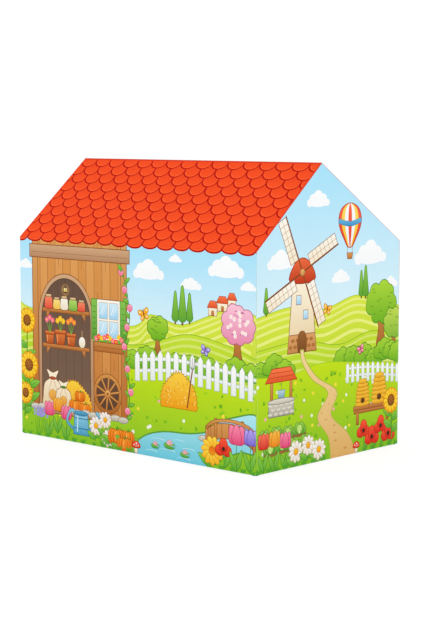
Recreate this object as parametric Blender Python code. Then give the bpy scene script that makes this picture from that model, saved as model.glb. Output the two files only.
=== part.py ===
"""Kids' play tent in the shape of a gabled house: printed cloth panels over a push-together frame of tubes.

Lengths are in metres. X runs along the house, Y from the front wall to the rear wall, Z up from the floor.
The origin is on the floor, in the middle of the house.
"""

import math

import bmesh
import bpy
from mathutils import Vector

# House, measured over the cloth
HOUSE_LENGTH = 1.05
HOUSE_DEPTH = 0.70
EAVE_HEIGHT = 0.665
RIDGE_HEIGHT = 0.92
RIDGE_FORWARD = 0.05

# Cloth panels
CLOTH_THICKNESS = 0.0008
HEM_LIFT = 0.002
TOUCH_GAP = 0.0003

# Frame tubes
TUBE_RADIUS = 0.008
TUBE_WALL = 0.0012

# Moulded connectors, which the tubes push into
SOCKET_WALL = 0.0013
SOCKET_DEPTH = 0.026
SOCKET_WEB = 0.0018
RIM_HEIGHT = 0.0004
RIM_LENGTH = 0.004
FOOT_HEIGHT = 0.003
BORE_OVERRUN = 0.002

# Doorway in the rear wall, closed by two cloth flaps
DOOR_WIDTH = 0.46
DOOR_HEIGHT = 0.56
DOOR_CORNER_RADIUS = 0.06

# Window in the left gable, with a net behind it and a flap over it
WINDOW_WIDTH = 0.26
WINDOW_HEIGHT = 0.18
WINDOW_SILL = 0.37
NET_OVERLAP = 0.012
NET_THICKNESS = 0.0006
FLAP_OVERLAP = 0.02

# Sewn tapes
TAPE_THICKNESS = 0.0008
EDGE_TAPE_WIDTH = 0.015
TIE_WIDTH = 0.02
DOOR_TIE_LENGTH = 0.15
DOOR_TIE_TOP = 0.36
DOOR_TIE_OFFSET = 0.03
TAB_LENGTH = 0.06
TAB_SPACING = 0.16
TAB_RISE = 0.01
LOOP_WIDTH = 0.025
LONG_LOOP_INSET = 0.165
SHORT_LOOP_INSET = 0.18

# How finely round shapes are cut
ROUND_SIDES = 12
CORNER_STEPS = 5
SMOOTH_ANGLE = math.radians(40)
QUARTER_TURN = math.pi / 2

# Worked out from the sizes above
HALF_LENGTH = HOUSE_LENGTH / 2
HALF_DEPTH = HOUSE_DEPTH / 2
INSIDE_X = HALF_LENGTH - CLOTH_THICKNESS
INSIDE_Y = HALF_DEPTH - CLOTH_THICKNESS
RISE = RIDGE_HEIGHT - EAVE_HEIGHT
BORE_RADIUS = TUBE_RADIUS + TOUCH_GAP
ARM_RADIUS = BORE_RADIUS + SOCKET_WALL
HUB_RADIUS = ARM_RADIUS + RIM_HEIGHT
HUB_CLEARANCE = HUB_RADIUS + TOUCH_GAP
POST_X = INSIDE_X - HUB_CLEARANCE
POST_Y = INSIDE_Y - HUB_CLEARANCE
BASE_Z = FOOT_HEIGHT + HUB_RADIUS
WINDOW_TOP = WINDOW_SILL + WINDOW_HEIGHT

SIDES = (("left", -1), ("right", 1))
WALLS = (("front", -1), ("rear", 1))


def slope_angle(sy):
    """The roof's pitch on the front (-1) or the rear (1). The ridge stands a little forward of the middle."""
    return math.atan2(RISE, HALF_DEPTH + sy * RIDGE_FORWARD)


def under_slope(sy, y, clear):
    """Height at a place y in the depth of the house, a clear distance square to one slope below its cloth."""
    outer = EAVE_HEIGHT + (HALF_DEPTH - sy * y) * math.tan(slope_angle(sy))
    return outer - (CLOTH_THICKNESS + clear) / math.cos(slope_angle(sy))


def under_roof(y, clear):
    return min(under_slope(sy, y, clear) for wall, sy in WALLS)


def under_ridge(clear):
    """The place (y, z) that lies a clear distance from both slopes' cloth."""
    front, rear = (under_slope(sy, 0, clear) for wall, sy in WALLS)
    y = (rear - front) / sum(math.tan(slope_angle(sy)) for wall, sy in WALLS)
    return y, under_roof(y, clear)


def socket_stop(angle):
    """How far from a connector's centre a socket starts, so that one at this angle to it keeps its web."""
    return (BORE_RADIUS + SOCKET_WEB / 2) / math.tan(angle / 2)


EAVE_Z = min(under_roof(sy * POST_Y, HUB_CLEARANCE) for wall, sy in WALLS)
SQUARE_STOP = socket_stop(QUARTER_TURN)


def clear_scene():
    for thing in list(bpy.data.objects):
        bpy.data.objects.remove(thing)


def finish_material(name, colour, roughness, metallic=0.0):
    material = bpy.data.materials.new(name)
    material.use_nodes = True
    shader = material.node_tree.nodes["Principled BSDF"]
    shader.inputs["Base Color"].default_value = (*colour, 1.0)
    shader.inputs["Roughness"].default_value = roughness
    shader.inputs["Metallic"].default_value = metallic
    material.diffuse_color = (*colour, 1.0)
    return material


def object_from(name, shape, material=None):
    """Turns a bmesh into a named object in the scene."""
    bmesh.ops.recalc_face_normals(shape, faces=shape.faces)
    mesh = bpy.data.meshes.new(name)
    shape.to_mesh(mesh)
    shape.free()
    if material:
        mesh.materials.append(material)
    made = bpy.data.objects.new(name, mesh)
    bpy.context.scene.collection.objects.link(made)
    return made


def combine(base, tool, operation):
    """Joins or cuts base with a helper solid, which is hidden."""
    tool.hide_render = True
    tool.display_type = "WIRE"
    modifier = base.modifiers.new(operation.title(), "BOOLEAN")
    modifier.operation = operation
    modifier.object = tool


def turned(name, profile, material=None, ring=False):
    """A solid turned round Z from (radius, height) points. A ring's profile closes on itself round a bore."""
    shape = bmesh.new()
    angles = [math.tau * step / ROUND_SIDES for step in range(ROUND_SIDES)]
    circles = []
    for radius, height in profile:
        points = [(radius * math.cos(angle), radius * math.sin(angle), height) for angle in angles]
        circles.append([shape.verts.new(point) for point in points])
    pairs = list(zip(circles, circles[1:]))
    if ring:
        pairs.append((circles[-1], circles[0]))
    else:
        shape.faces.new(circles[0])
        shape.faces.new(circles[-1])
    for lower, upper in pairs:
        for step in range(ROUND_SIDES):
            after = (step + 1) % ROUND_SIDES
            shape.faces.new((lower[step], lower[after], upper[after], upper[step]))
    made = object_from(name, shape, material)
    made.data.shade_smooth()
    made.data.set_sharp_from_angle(angle=SMOOTH_ANGLE)
    return made


def aim(made, start, direction):
    """Puts a turned solid's foot at start, with its axis along direction."""
    made.location = start
    made.rotation_mode = "QUATERNION"
    made.rotation_quaternion = Vector(direction).to_track_quat("Z", "Y")


def panel(name, outline, axis, near, far, material=None):
    """A flat closed panel: an outline in the other two axes, drawn out along axis from near to far."""
    shape = bmesh.new()
    if axis == "X":
        points = [(near, across, up) for across, up in outline]
        travel = (far - near, 0, 0)
    else:
        points = [(across, near, up) for across, up in outline]
        travel = (0, far - near, 0)
    face = shape.faces.new([shape.verts.new(point) for point in points])
    drawn = bmesh.ops.extrude_face_region(shape, geom=[face])["geom"]
    moved = [item for item in drawn if isinstance(item, bmesh.types.BMVert)]
    bmesh.ops.translate(shape, verts=moved, vec=travel)
    return object_from(name, shape, material)


def rectangle(middle, half_width, low, high):
    left, right = middle - half_width, middle + half_width
    return [(left, low), (right, low), (right, high), (left, high)]


def corner_arc(centre, up, radius, start):
    """Points of a quarter turn, anticlockwise from the start angle."""
    points = []
    for step in range(CORNER_STEPS + 1):
        angle = start + QUARTER_TURN * step / CORNER_STEPS
        points.append((centre + radius * math.cos(angle), up + radius * math.sin(angle)))
    return points


def arch(grown):
    """The doorway's outline grown outwards, from its right foot over the top to its left foot."""
    half_width = DOOR_WIDTH / 2 + grown
    radius = DOOR_CORNER_RADIUS + grown
    centre, up = DOOR_WIDTH / 2 - DOOR_CORNER_RADIUS, DOOR_HEIGHT - DOOR_CORNER_RADIUS
    right = corner_arc(centre, up, radius, 0)
    left = corner_arc(-centre, up, radius, QUARTER_TURN)
    return [(half_width, HEM_LIFT), *right, *left, (-half_width, HEM_LIFT)]


def hang(made, hinge):
    """Gives a moving piece a parent empty on its hinge line."""
    pivot = bpy.data.objects.new(f"{made.name}_hinge", None)
    pivot.location = hinge
    bpy.context.scene.collection.objects.link(pivot)
    made.parent = pivot
    made.location = -pivot.location


def make_tube(name, hubs, stops, material):
    """A hollow tube seated in the sockets of two connectors, each with its centre and its socket's stop."""
    first, last = Vector(hubs[0]), Vector(hubs[1])
    along = (last - first).normalized()
    start = first + along * (stops[0] + TOUCH_GAP)
    length = (last - first).length - sum(stops) - 2 * TOUCH_GAP
    inner = TUBE_RADIUS - TUBE_WALL
    profile = [(TUBE_RADIUS, 0), (TUBE_RADIUS, length), (inner, length), (inner, 0)]
    aim(turned(name, profile, material, ring=True), start, along)


def bore_out(hub, centre, arms):
    """Sinks one socket into a connector for each (direction, stop) of arms."""
    for number, (direction, stop) in enumerate(arms):
        depth = stop + SOCKET_DEPTH + BORE_OVERRUN
        bore = turned(f"{hub.name}_bore_{number}", [(BORE_RADIUS, stop), (BORE_RADIUS, depth)])
        aim(bore, centre, direction)
        combine(hub, bore, "DIFFERENCE")


def make_connector(name, centre, axis, back, arms, material):
    """A moulded corner: a round hub that reaches back behind its centre along axis, with rimmed sockets."""
    hub = turned(name, [(HUB_RADIUS, -back), (HUB_RADIUS, HUB_RADIUS)], material)
    aim(hub, centre, axis)
    for number, (direction, stop) in enumerate(arms):
        mouth = stop + SOCKET_DEPTH
        rim = mouth - RIM_LENGTH
        profile = [(ARM_RADIUS, 0), (ARM_RADIUS, rim), (HUB_RADIUS, rim), (HUB_RADIUS, mouth)]
        arm = turned(f"{name}_arm_{number}", profile)
        aim(arm, centre, direction)
        combine(hub, arm, "UNION")
    bore_out(hub, centre, arms)


def make_coupler(name, centre, material):
    """A straight double socket that joins the two halves of a long rail."""
    half_web = SOCKET_WEB / 2
    mouth = half_web + SOCKET_DEPTH
    rim = mouth - RIM_LENGTH
    profile = [(HUB_RADIUS, -mouth), (HUB_RADIUS, -rim), (ARM_RADIUS, -rim)]
    profile += [(radius, -height) for radius, height in reversed(profile)]
    sleeve = turned(name, profile, material)
    aim(sleeve, centre, (1, 0, 0))
    bore_out(sleeve, centre, [((-1, 0, 0), half_web), ((1, 0, 0), half_web)])


def build_gable_frame(side, sx, tube_plastic, connector_plastic):
    """One end of the frame: its corners, posts, rafters and cross rails."""
    x = sx * POST_X
    inward = Vector((-sx, 0, 0))
    up = Vector((0, 0, 1))
    ridge = Vector((x, *under_ridge(HUB_CLEARANCE)))
    ridge_sockets = [(inward, SQUARE_STOP)]
    base_hubs, eave_hubs, eave_stops = [], [], []
    for wall, sy in WALLS:
        base, eave = Vector((x, sy * POST_Y, BASE_Z)), Vector((x, sy * POST_Y, EAVE_Z))
        across = Vector((0, -sy, 0))
        uphill = (ridge - eave).normalized()
        sharp_stop = socket_stop(uphill.angle(across))
        sockets = [(up, SQUARE_STOP), (inward, SQUARE_STOP), (across, SQUARE_STOP)]
        make_connector(f"base_corner_{wall}_{side}", base, up, BASE_Z, sockets, connector_plastic)
        sockets = [(-up, SQUARE_STOP), (inward, SQUARE_STOP), (across, sharp_stop), (uphill, sharp_stop)]
        make_connector(f"eave_corner_{wall}_{side}", eave, inward, HUB_RADIUS, sockets, connector_plastic)
        make_tube(f"post_{wall}_{side}", (base, eave), (SQUARE_STOP, SQUARE_STOP), tube_plastic)
        make_tube(f"rafter_{wall}_{side}", (eave, ridge), (sharp_stop, SQUARE_STOP), tube_plastic)
        ridge_sockets.append((-uphill, SQUARE_STOP))
        base_hubs.append(base)
        eave_hubs.append(eave)
        eave_stops.append(sharp_stop)
    make_connector(f"ridge_end_{side}", ridge, inward, HUB_RADIUS, ridge_sockets, connector_plastic)
    make_tube(f"base_rail_{side}", base_hubs, (SQUARE_STOP, SQUARE_STOP), tube_plastic)
    make_tube(f"eave_rail_{side}", eave_hubs, eave_stops, tube_plastic)


def build_long_rails(tube_plastic, connector_plastic):
    """The rails and the ridge pole along the house, each in two halves with a coupler between them."""
    rails = [(f"base_rail_{wall}", sy * POST_Y, BASE_Z) for wall, sy in WALLS]
    rails += [(f"eave_rail_{wall}", sy * POST_Y, EAVE_Z) for wall, sy in WALLS]
    rails.append(("ridge_pole", *under_ridge(HUB_CLEARANCE)))
    for name, y, z in rails:
        middle = (0, y, z)
        for side, sx in SIDES:
            hubs = ((sx * POST_X, y, z), middle)
            make_tube(f"{name}_{side}", hubs, (SQUARE_STOP, SOCKET_WEB / 2), tube_plastic)
        make_coupler(f"{name}_coupler", middle, connector_plastic)


def build_walls(wall_cloth, gable_cloth):
    """The four printed walls. The long ones cover the gables' edges, and all stop just under the roof."""
    outline = rectangle(0, HALF_LENGTH, HEM_LIFT, under_roof(-HALF_DEPTH, TOUCH_GAP))
    panel("front_wall", outline, "Y", -HALF_DEPTH, -INSIDE_Y, wall_cloth)
    outline = rectangle(0, HALF_LENGTH, HEM_LIFT, under_roof(HALF_DEPTH, TOUCH_GAP))
    left_foot, right_foot, right_top, left_top = outline
    notched = [left_foot, left_top, right_top, right_foot, *arch(0)]
    panel("rear_wall", notched, "Y", HALF_DEPTH, INSIDE_Y, wall_cloth)

    edge = INSIDE_Y - TOUCH_GAP
    front, rear = ((sy * edge, under_roof(sy * edge, TOUCH_GAP)) for wall, sy in WALLS)
    outline = [(-edge, HEM_LIFT), (edge, HEM_LIFT), rear, under_ridge(TOUCH_GAP), front]
    panel("right_gable", outline, "X", HALF_LENGTH, INSIDE_X, gable_cloth)
    gable = panel("left_gable", outline, "X", -HALF_LENGTH, -INSIDE_X, gable_cloth)
    hole = rectangle(0, WINDOW_WIDTH / 2, WINDOW_SILL, WINDOW_TOP)
    cutter = panel("window_cutter", hole, "X", -HALF_LENGTH - BORE_OVERRUN, BORE_OVERRUN - INSIDE_X)
    combine(gable, cutter, "DIFFERENCE")


def build_roof(roof_cloth):
    """Two sloping sheets that meet at the ridge and end flush with the long walls' faces."""
    for wall, sy in WALLS:
        thickness = CLOTH_THICKNESS / math.cos(slope_angle(sy))
        edges = (sy * HALF_DEPTH, sy * TOUCH_GAP / 2 - RIDGE_FORWARD)
        lower = [(y, under_slope(sy, y, 0)) for y in edges]
        upper = [(y, z + thickness) for y, z in reversed(lower)]
        panel(f"roof_{wall}", lower + upper, "X", -HALF_LENGTH, HALF_LENGTH, roof_cloth)


def build_door(wall_cloth, tape):
    """Two flaps that fill the doorway, each sewn down its outer edge, the edge tape and the tie-backs."""
    rim = arch(-TOUCH_GAP)
    middle = len(rim) // 2
    top = DOOR_HEIGHT - TOUCH_GAP
    tie_inside = HALF_DEPTH + TOUCH_GAP
    for side, sx in SIDES:
        edge = sx * TOUCH_GAP / 2
        half = rim[middle:] if side == "left" else rim[middle - 1::-1]
        outline = [(edge, HEM_LIFT), (edge, top), *half]
        flap = panel(f"door_flap_{side}", outline, "Y", HALF_DEPTH, INSIDE_Y, wall_cloth)
        hang(flap, (sx * (DOOR_WIDTH - TOUCH_GAP) / 2, HALF_DEPTH, 0))
        tie_x = sx * (DOOR_WIDTH / 2 + DOOR_TIE_OFFSET)
        tie = rectangle(tie_x, TIE_WIDTH / 2, DOOR_TIE_TOP - DOOR_TIE_LENGTH, DOOR_TIE_TOP)
        panel(f"door_tie_{side}", tie, "Y", tie_inside, tie_inside + TAPE_THICKNESS, tape)

    ring = arch(0) + arch(EDGE_TAPE_WIDTH)[::-1]
    face = INSIDE_Y - TOUCH_GAP
    panel("doorway_tape", ring, "Y", face, face - TAPE_THICKNESS, tape)


def build_window(gable_cloth, net, tape):
    """Net sewn inside the left gable under a border of tape, and a flap outside, sewn along its top edge."""
    seam = rectangle(0, WINDOW_WIDTH / 2 + NET_OVERLAP, WINDOW_SILL - NET_OVERLAP, WINDOW_TOP + NET_OVERLAP)
    net_face = TOUCH_GAP - INSIDE_X
    net_back = net_face + NET_THICKNESS
    panel("window_net", seam, "X", net_face, net_back, net)
    tape_face = net_back + TOUCH_GAP
    tape_back = tape_face + TAPE_THICKNESS
    border = panel("window_tape", seam, "X", tape_face, tape_back, tape)
    hole = rectangle(0, WINDOW_WIDTH / 2, WINDOW_SILL, WINDOW_TOP)
    cutter = panel("window_tape_cutter", hole, "X", tape_face - BORE_OVERRUN, tape_back + BORE_OVERRUN)
    combine(border, cutter, "DIFFERENCE")

    inner = -HALF_LENGTH - TOUCH_GAP
    outer = inner - CLOTH_THICKNESS
    flap_top = WINDOW_TOP + FLAP_OVERLAP
    cover = rectangle(0, WINDOW_WIDTH / 2 + FLAP_OVERLAP, WINDOW_SILL - FLAP_OVERLAP, flap_top)
    flap = panel("window_flap", cover, "X", inner, outer, gable_cloth)
    hang(flap, (outer, 0, flap_top))
    tab_foot = flap_top + TAB_RISE
    for wall, sy in WALLS:
        tab = rectangle(sy * TAB_SPACING / 2, TIE_WIDTH / 2, tab_foot, tab_foot + TAB_LENGTH)
        panel(f"window_tab_{wall}", tab, "X", inner, inner - TAPE_THICKNESS, tape)


def make_loop(name, centre, axis, material):
    """A loop of tape closed round a bottom rail that runs along axis."""
    half = LOOP_WIDTH / 2
    profile = [(HUB_RADIUS, -half), (HUB_RADIUS, half), (BORE_RADIUS, half), (BORE_RADIUS, -half)]
    aim(turned(name, profile, material, ring=True), centre, axis)


def build_hem_loops(tape):
    """Loops sewn inside the hem, set in from the corners: one on each end rail and two on each long one."""
    for side, sx in SIDES:
        place = (sx * POST_X, HALF_DEPTH - SHORT_LOOP_INSET, BASE_Z)
        make_loop(f"hem_loop_{side}", place, (0, 1, 0), tape)
        for wall, sy in WALLS:
            place = (sx * (HALF_LENGTH - LONG_LOOP_INSET), sy * POST_Y, BASE_Z)
            make_loop(f"hem_loop_{wall}_{side}", place, (1, 0, 0), tape)


def main():
    clear_scene()
    tube_plastic = finish_material("tube_plastic", (0.86, 0.87, 0.86), 0.35)
    connector_plastic = finish_material("connector_plastic", (0.05, 0.22, 0.60), 0.42)
    wall_cloth = finish_material("wall_cloth", (0.47, 0.68, 0.06), 0.75)
    gable_cloth = finish_material("gable_cloth", (0.42, 0.72, 0.88), 0.75)
    roof_cloth = finish_material("roof_cloth", (0.88, 0.09, 0.02), 0.72)
    net = finish_material("net", (0.90, 0.90, 0.88), 0.80)
    tape = finish_material("tape", (0.82, 0.82, 0.80), 0.85)
    for side, sx in SIDES:
        build_gable_frame(side, sx, tube_plastic, connector_plastic)
    build_long_rails(tube_plastic, connector_plastic)
    build_walls(wall_cloth, gable_cloth)
    build_roof(roof_cloth)
    build_door(wall_cloth, tape)
    build_window(gable_cloth, net, tape)
    build_hem_loops(tape)


main()
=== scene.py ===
import math
import random

import bpy
import numpy as np
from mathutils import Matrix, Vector
from mathutils.geometry import delaunay_2d_cdt


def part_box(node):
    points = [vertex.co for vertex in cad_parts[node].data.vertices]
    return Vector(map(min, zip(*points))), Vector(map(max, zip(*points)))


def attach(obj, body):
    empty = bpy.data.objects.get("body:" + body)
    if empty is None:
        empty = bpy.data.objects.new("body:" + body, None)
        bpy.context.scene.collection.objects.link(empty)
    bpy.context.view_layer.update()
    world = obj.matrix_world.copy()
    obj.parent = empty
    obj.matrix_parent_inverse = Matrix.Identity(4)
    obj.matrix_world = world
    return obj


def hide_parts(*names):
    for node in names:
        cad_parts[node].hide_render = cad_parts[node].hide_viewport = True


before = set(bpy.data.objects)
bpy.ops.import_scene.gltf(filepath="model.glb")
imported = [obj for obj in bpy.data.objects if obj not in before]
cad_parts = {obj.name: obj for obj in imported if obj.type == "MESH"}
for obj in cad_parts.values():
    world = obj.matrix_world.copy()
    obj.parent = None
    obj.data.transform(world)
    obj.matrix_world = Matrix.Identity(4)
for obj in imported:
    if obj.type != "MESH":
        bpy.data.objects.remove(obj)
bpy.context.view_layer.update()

# A printed play tent: polyester cloth over a frame of plastic tubes.
# Places on a cloth panel are (u, v) in millimetres, as seen from outside: u to the right, v up.

scene = bpy.context.scene
scene.view_settings.view_transform = "Standard"
mm = 0.001


def linear(code):  # sRGB hex to the linear values that Blender mixes
    parts = [int(code[i:i + 2], 16) / 255 for i in (1, 3, 5)]
    return [c / 12.92 if c <= 0.04045 else ((c + 0.055) / 1.055) ** 2.4 for c in parts]


def join(tree, node, links):  # an input takes a value, a socket or another node's first output
    for name, value in links.items():
        if isinstance(value, bpy.types.Node):
            value = value.outputs[0]
        if isinstance(value, bpy.types.NodeSocket):
            tree.links.new(value, node.inputs[name])
        else:
            node.inputs[name].default_value = value


def addNode(tree, kind, settings={}, links={}):
    node = tree.nodes.new(kind)
    for name, value in settings.items():
        setattr(node, name, value)
    join(tree, node, links)
    return node


def startMaterial(name):
    made = bpy.data.materials.new(name)
    made.use_nodes = True
    return made, made.node_tree, made.node_tree.nodes["Principled BSDF"]


def addObject(name, data):
    made = bpy.data.objects.new(name, data)
    scene.collection.objects.link(made)
    return made


# Stage and light

stage = {
    "floorSize": 30.0,
    "glow": 0.80,           # share of plain white that the camera sees on the floor
    "shadeShare": 0.26,     # share that is lit, and keeps the tent's faint shadow
    "bounce": 0.92,         # how much light the floor sends back up to the tent
    "worldStrength": 0.97,
    "keyPower": 22.0,
    "fillPower": 14.0,
    "keyPlace": (-2.6, -4.6, 4.4),
    "fillPlace": (4.8, -1.6, 2.6),
    "lampSize": 3.2,
    "lampAim": 0.45,        # m above the floor
}
camera = {
    "azimuth": 42.82,       # degrees round the tent from straight in front
    "elevation": 6.44,
    "distance": 5.517,
    "aimHeight": 0.5,
    "aimRight": 0.0133,
    "aimUp": -0.0890,
    "focalPixels": 1676.7,  # focal length in pixels of a picture 631 high
    "sensor": 36.0,
    "longSide": 631,
}


def buildStage():
    s = stage
    white = (1, 1, 1, 1)
    world = bpy.data.worlds.new("evenWhite")
    scene.world = world
    world.use_nodes = True
    tree = world.node_tree
    tree.nodes.clear()
    path = addNode(tree, "ShaderNodeLightPath")
    lit = addNode(tree, "ShaderNodeBackground", {}, {"Color": white, "Strength": s["worldStrength"]})
    seen = addNode(tree, "ShaderNodeBackground", {}, {"Color": white, "Strength": 1.0})
    either = addNode(tree, "ShaderNodeMixShader", {}, {0: path.outputs["Is Camera Ray"], 1: lit, 2: seen})
    addNode(tree, "ShaderNodeOutputWorld", {}, {"Surface": either})

    half = s["floorSize"] / 2
    mesh = bpy.data.meshes.new("floor")
    mesh.from_pydata([(-half, -half, 0), (half, -half, 0), (half, half, 0), (-half, half, 0)], [], [(0, 1, 2, 3)])
    floor = addObject("floor", mesh)
    paper, tree, shader = startMaterial("matt white paper")
    path = addNode(tree, "ShaderNodeLightPath")
    reflected = addNode(tree, "ShaderNodeMath", {"operation": "MAXIMUM"},
                        {0: path.outputs["Is Camera Ray"], 1: path.outputs["Is Glossy Ray"]})
    through = addNode(tree, "ShaderNodeMath", {"operation": "MAXIMUM"},
                      {0: reflected, 1: path.outputs["Is Transmission Ray"]})
    glow = addNode(tree, "ShaderNodeMath", {"operation": "MULTIPLY"}, {0: through, 1: s["glow"]})
    paleness = addNode(tree, "ShaderNodeMapRange", {},
                       {"Value": through, "To Min": s["bounce"], "To Max": s["shadeShare"]})
    grey = addNode(tree, "ShaderNodeCombineColor", {}, {i: paleness for i in (0, 1, 2)})
    join(tree, shader, {"Base Color": grey, "Roughness": 0.9, "Specular IOR Level": 0.0,
                        "Emission Color": white, "Emission Strength": glow})
    mesh.materials.append(paper)

    for name in ("key", "fill"):
        data = bpy.data.lights.new(name, "AREA")
        data.energy = s[name + "Power"]
        data.size = s["lampSize"]
        lamp = addObject(name, data)
        lamp.location = s[name + "Place"]
        lamp.rotation_euler = (Vector((0, 0, s["lampAim"])) - lamp.location).to_track_quat("-Z", "Y").to_euler()


def buildCamera():
    c = camera
    turn, rise = math.radians(c["azimuth"]), math.radians(c["elevation"])
    back = Vector((math.sin(turn) * math.cos(rise), -math.cos(turn) * math.cos(rise), math.sin(rise)))
    right = Vector((math.cos(turn), math.sin(turn), 0))
    up = back.cross(right)
    aim = Vector((0, 0, c["aimHeight"])) + right * c["aimRight"] + up * c["aimUp"]
    data = bpy.data.cameras.new("camera")
    data.sensor_width = c["sensor"]
    data.lens = c["focalPixels"] / c["longSide"] * c["sensor"]
    made = addObject("camera", data)
    made.location = aim + back * c["distance"]
    made.rotation_euler = back.to_track_quat("Z", "Y").to_euler()
    scene.camera = made


buildStage()
buildCamera()
print("stage, light and camera are in place")

# Materials

cloth = {
    "threadSpacing": 1.6,   # mm; real threads lie 0.3 mm apart, drawn coarser so that the weave shows from near
    "weaveDepth": 0.05,     # mm
    "mottle": 90.0,         # mm, soft patches where the dye took a little more or less
    "mottleShare": 0.035,
    "roughness": 0.82,
    "shine": 0.08,
}


def wovenMaterial(name, settings):
    made, tree, shader = startMaterial(name)
    ink = addNode(tree, "ShaderNodeAttribute", {"attribute_name": "ink"})
    threads = addNode(tree, "ShaderNodeUVMap", {"uv_map": "millimetres"})
    split = addNode(tree, "ShaderNodeSeparateXYZ", {}, {0: threads})
    waves = []
    for axis in ("X", "Y"):
        scaled = addNode(tree, "ShaderNodeMath", {"operation": "MULTIPLY"},
                         {0: split.outputs[axis], 1: math.pi / settings["threadSpacing"]})
        waves.append(addNode(tree, "ShaderNodeMath", {"operation": "SINE"}, {0: scaled}))
    over = addNode(tree, "ShaderNodeMath", {"operation": "MULTIPLY"}, {0: waves[0], 1: waves[1]})
    relief = addNode(tree, "ShaderNodeMath", {"operation": "ABSOLUTE"}, {0: over})
    bump = addNode(tree, "ShaderNodeBump", {},
                   {"Strength": 0.35, "Distance": settings["weaveDepth"] * mm, "Height": relief})
    patches = addNode(tree, "ShaderNodeTexNoise", {"noise_dimensions": "2D"},
                      {"Vector": threads, "Scale": 1 / settings["mottle"], "Detail": 2.0})
    depth = addNode(tree, "ShaderNodeMapRange", {},
                    {"Value": patches, "To Min": 1 - settings["mottleShare"], "To Max": 1.0})
    dyed = addNode(tree, "ShaderNodeMix", {"data_type": "RGBA", "blend_type": "MULTIPLY"},
                   {"Factor": 1.0, 6: ink, 7: depth})
    join(tree, shader, {"Base Color": dyed.outputs[2], "Normal": bump,
                        "Roughness": settings["roughness"], "Specular IOR Level": settings["shine"]})
    return made


printedCloth = wovenMaterial("printed polyester taffeta", cloth)

# Drawing tools for the print

# The areas printed on the panel in hand, lowest first: ring, low and high colour, and the levels they belong to
art = []


def printed(design, *values):
    art.clear()
    design(*values)
    return art[:]


def many(motif, *places):  # the same motif at several places
    for place in places:
        motif(*place)


def heading(degrees):
    return math.cos(math.radians(degrees)), math.sin(math.radians(degrees))


def oval(u, v, ru, rv=None, steps=18, turn=0.0):
    rv = ru if rv is None else rv
    c, s = heading(turn)
    points = []
    for i in range(steps):
        a = math.tau * i / steps
        x, y = ru * math.cos(a), rv * math.sin(a)
        points.append((u + x * c - y * s, v + x * s + y * c))
    return points


def arc(u, v, ru, rv, start, end, steps):  # points round (u, v) from one angle to another, in degrees
    return [(u + ru * c, v + rv * s) for c, s in (heading(start + (end - start) * i / steps) for i in range(steps + 1))]


def smooth(points, steps=5, closed=True):  # a curve through the points
    count = len(points)
    made = []
    for i in range(count if closed else count - 1):
        if closed:
            p = [points[(i + k) % count] for k in (-1, 0, 1, 2)]
        else:
            p = [points[max(0, min(count - 1, i + k))] for k in (-1, 0, 1, 2)]
        for k in range(steps):
            t = k / steps
            made.append(tuple(0.5 * (2 * p[1][d] + (p[2][d] - p[0][d]) * t
                                     + (2 * p[0][d] - 5 * p[1][d] + 4 * p[2][d] - p[3][d]) * t * t
                                     + (3 * p[1][d] - p[0][d] - 3 * p[2][d] + p[3][d]) * t ** 3) for d in (0, 1)))
    if not closed:
        made.append(points[-1])
    return made


def curve(points, steps):  # an open one
    return smooth(points, steps, False)


def areaOf(ring):  # above zero where the ring turns left
    return sum(a[0] * b[1] - b[0] * a[1] for a, b in zip(ring, ring[1:] + ring[:1])) / 2


def turningLeft(ring):
    return ring if areaOf(ring) > 0 else ring[::-1]


def sideways(points, i, closed):  # unit normal to the right of a path at one point, lengthened at a corner
    count = len(points)
    before = points[i - 1] if closed or i > 0 else points[0]
    after = points[(i + 1) % count] if closed or i < count - 1 else points[-1]
    here = points[i]
    normals = []
    for a, b in ((before, here), (here, after)):
        du, dv = b[0] - a[0], b[1] - a[1]
        length = math.hypot(du, dv)
        if length > 1e-6:
            normals.append((dv / length, -du / length))
    if len(normals) < 2:
        return normals[0] if normals else (0.0, 0.0)
    (a, b), (c, d) = normals
    scale = 1 / max(0.45, 1 + a * c + b * d)
    return (a + c) * scale, (b + d) * scale


def grow(points, by):
    ring = turningLeft(points)
    normals = [sideways(ring, i, True) for i in range(len(ring))]
    return [(p[0] + n[0] * by, p[1] + n[1] * by) for p, n in zip(ring, normals)]


def stroke(points, wide, end=None):  # the outline of a brush line that may narrow to its end
    end = wide if end is None else end
    last = len(points) - 1
    right, left = [], []
    for i, p in enumerate(points):
        n = sideways(points, i, False)
        half = (wide + (end - wide) * i / last) / 2
        right.append((p[0] + n[0] * half, p[1] + n[1] * half))
        left.append((p[0] - n[0] * half, p[1] - n[1] * half))
    return right + left[::-1]


def fill(points, low, high=None, span=None):
    levels = [p[1] for p in points]
    art.append((turningLeft(points), low, high or low, span or (min(levels), max(levels))))


def mark(points, ink, wide, end=None):
    fill(stroke(points, wide, end), ink)


def draw(points, low, high=None, edge=None, line=2.6):  # an area over its darker outline
    if edge:
        fill(grow(points, line), edge)
    fill(points, low, high)


def drawMany(rings, low, high=None, edge=None, line=2.6):  # several areas that merge into one outline
    levels = [p[1] for ring in rings for p in ring]
    span = (min(levels), max(levels))
    if edge:
        for ring in rings:
            fill(grow(ring, line), edge)
    for ring in rings:
        fill(ring, low, high, span)


def placed(shape, u, v, wide, high=None, turn=0.0):  # a shape of unit size, brought to its place
    high = wide if high is None else high
    c, s = heading(turn)
    return [(u + x * wide * c - y * high * s, v + x * wide * s + y * high * c) for x, y in shape]


def blob(shape, steps, *place, **named):  # the same with its corners rounded
    return smooth(placed(shape, *place, **named), steps)


def mirrored(*half):  # a closed outline from its right half, listed upwards
    return [*half, *((-x, y) for x, y in half[::-1] if x)]


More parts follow.
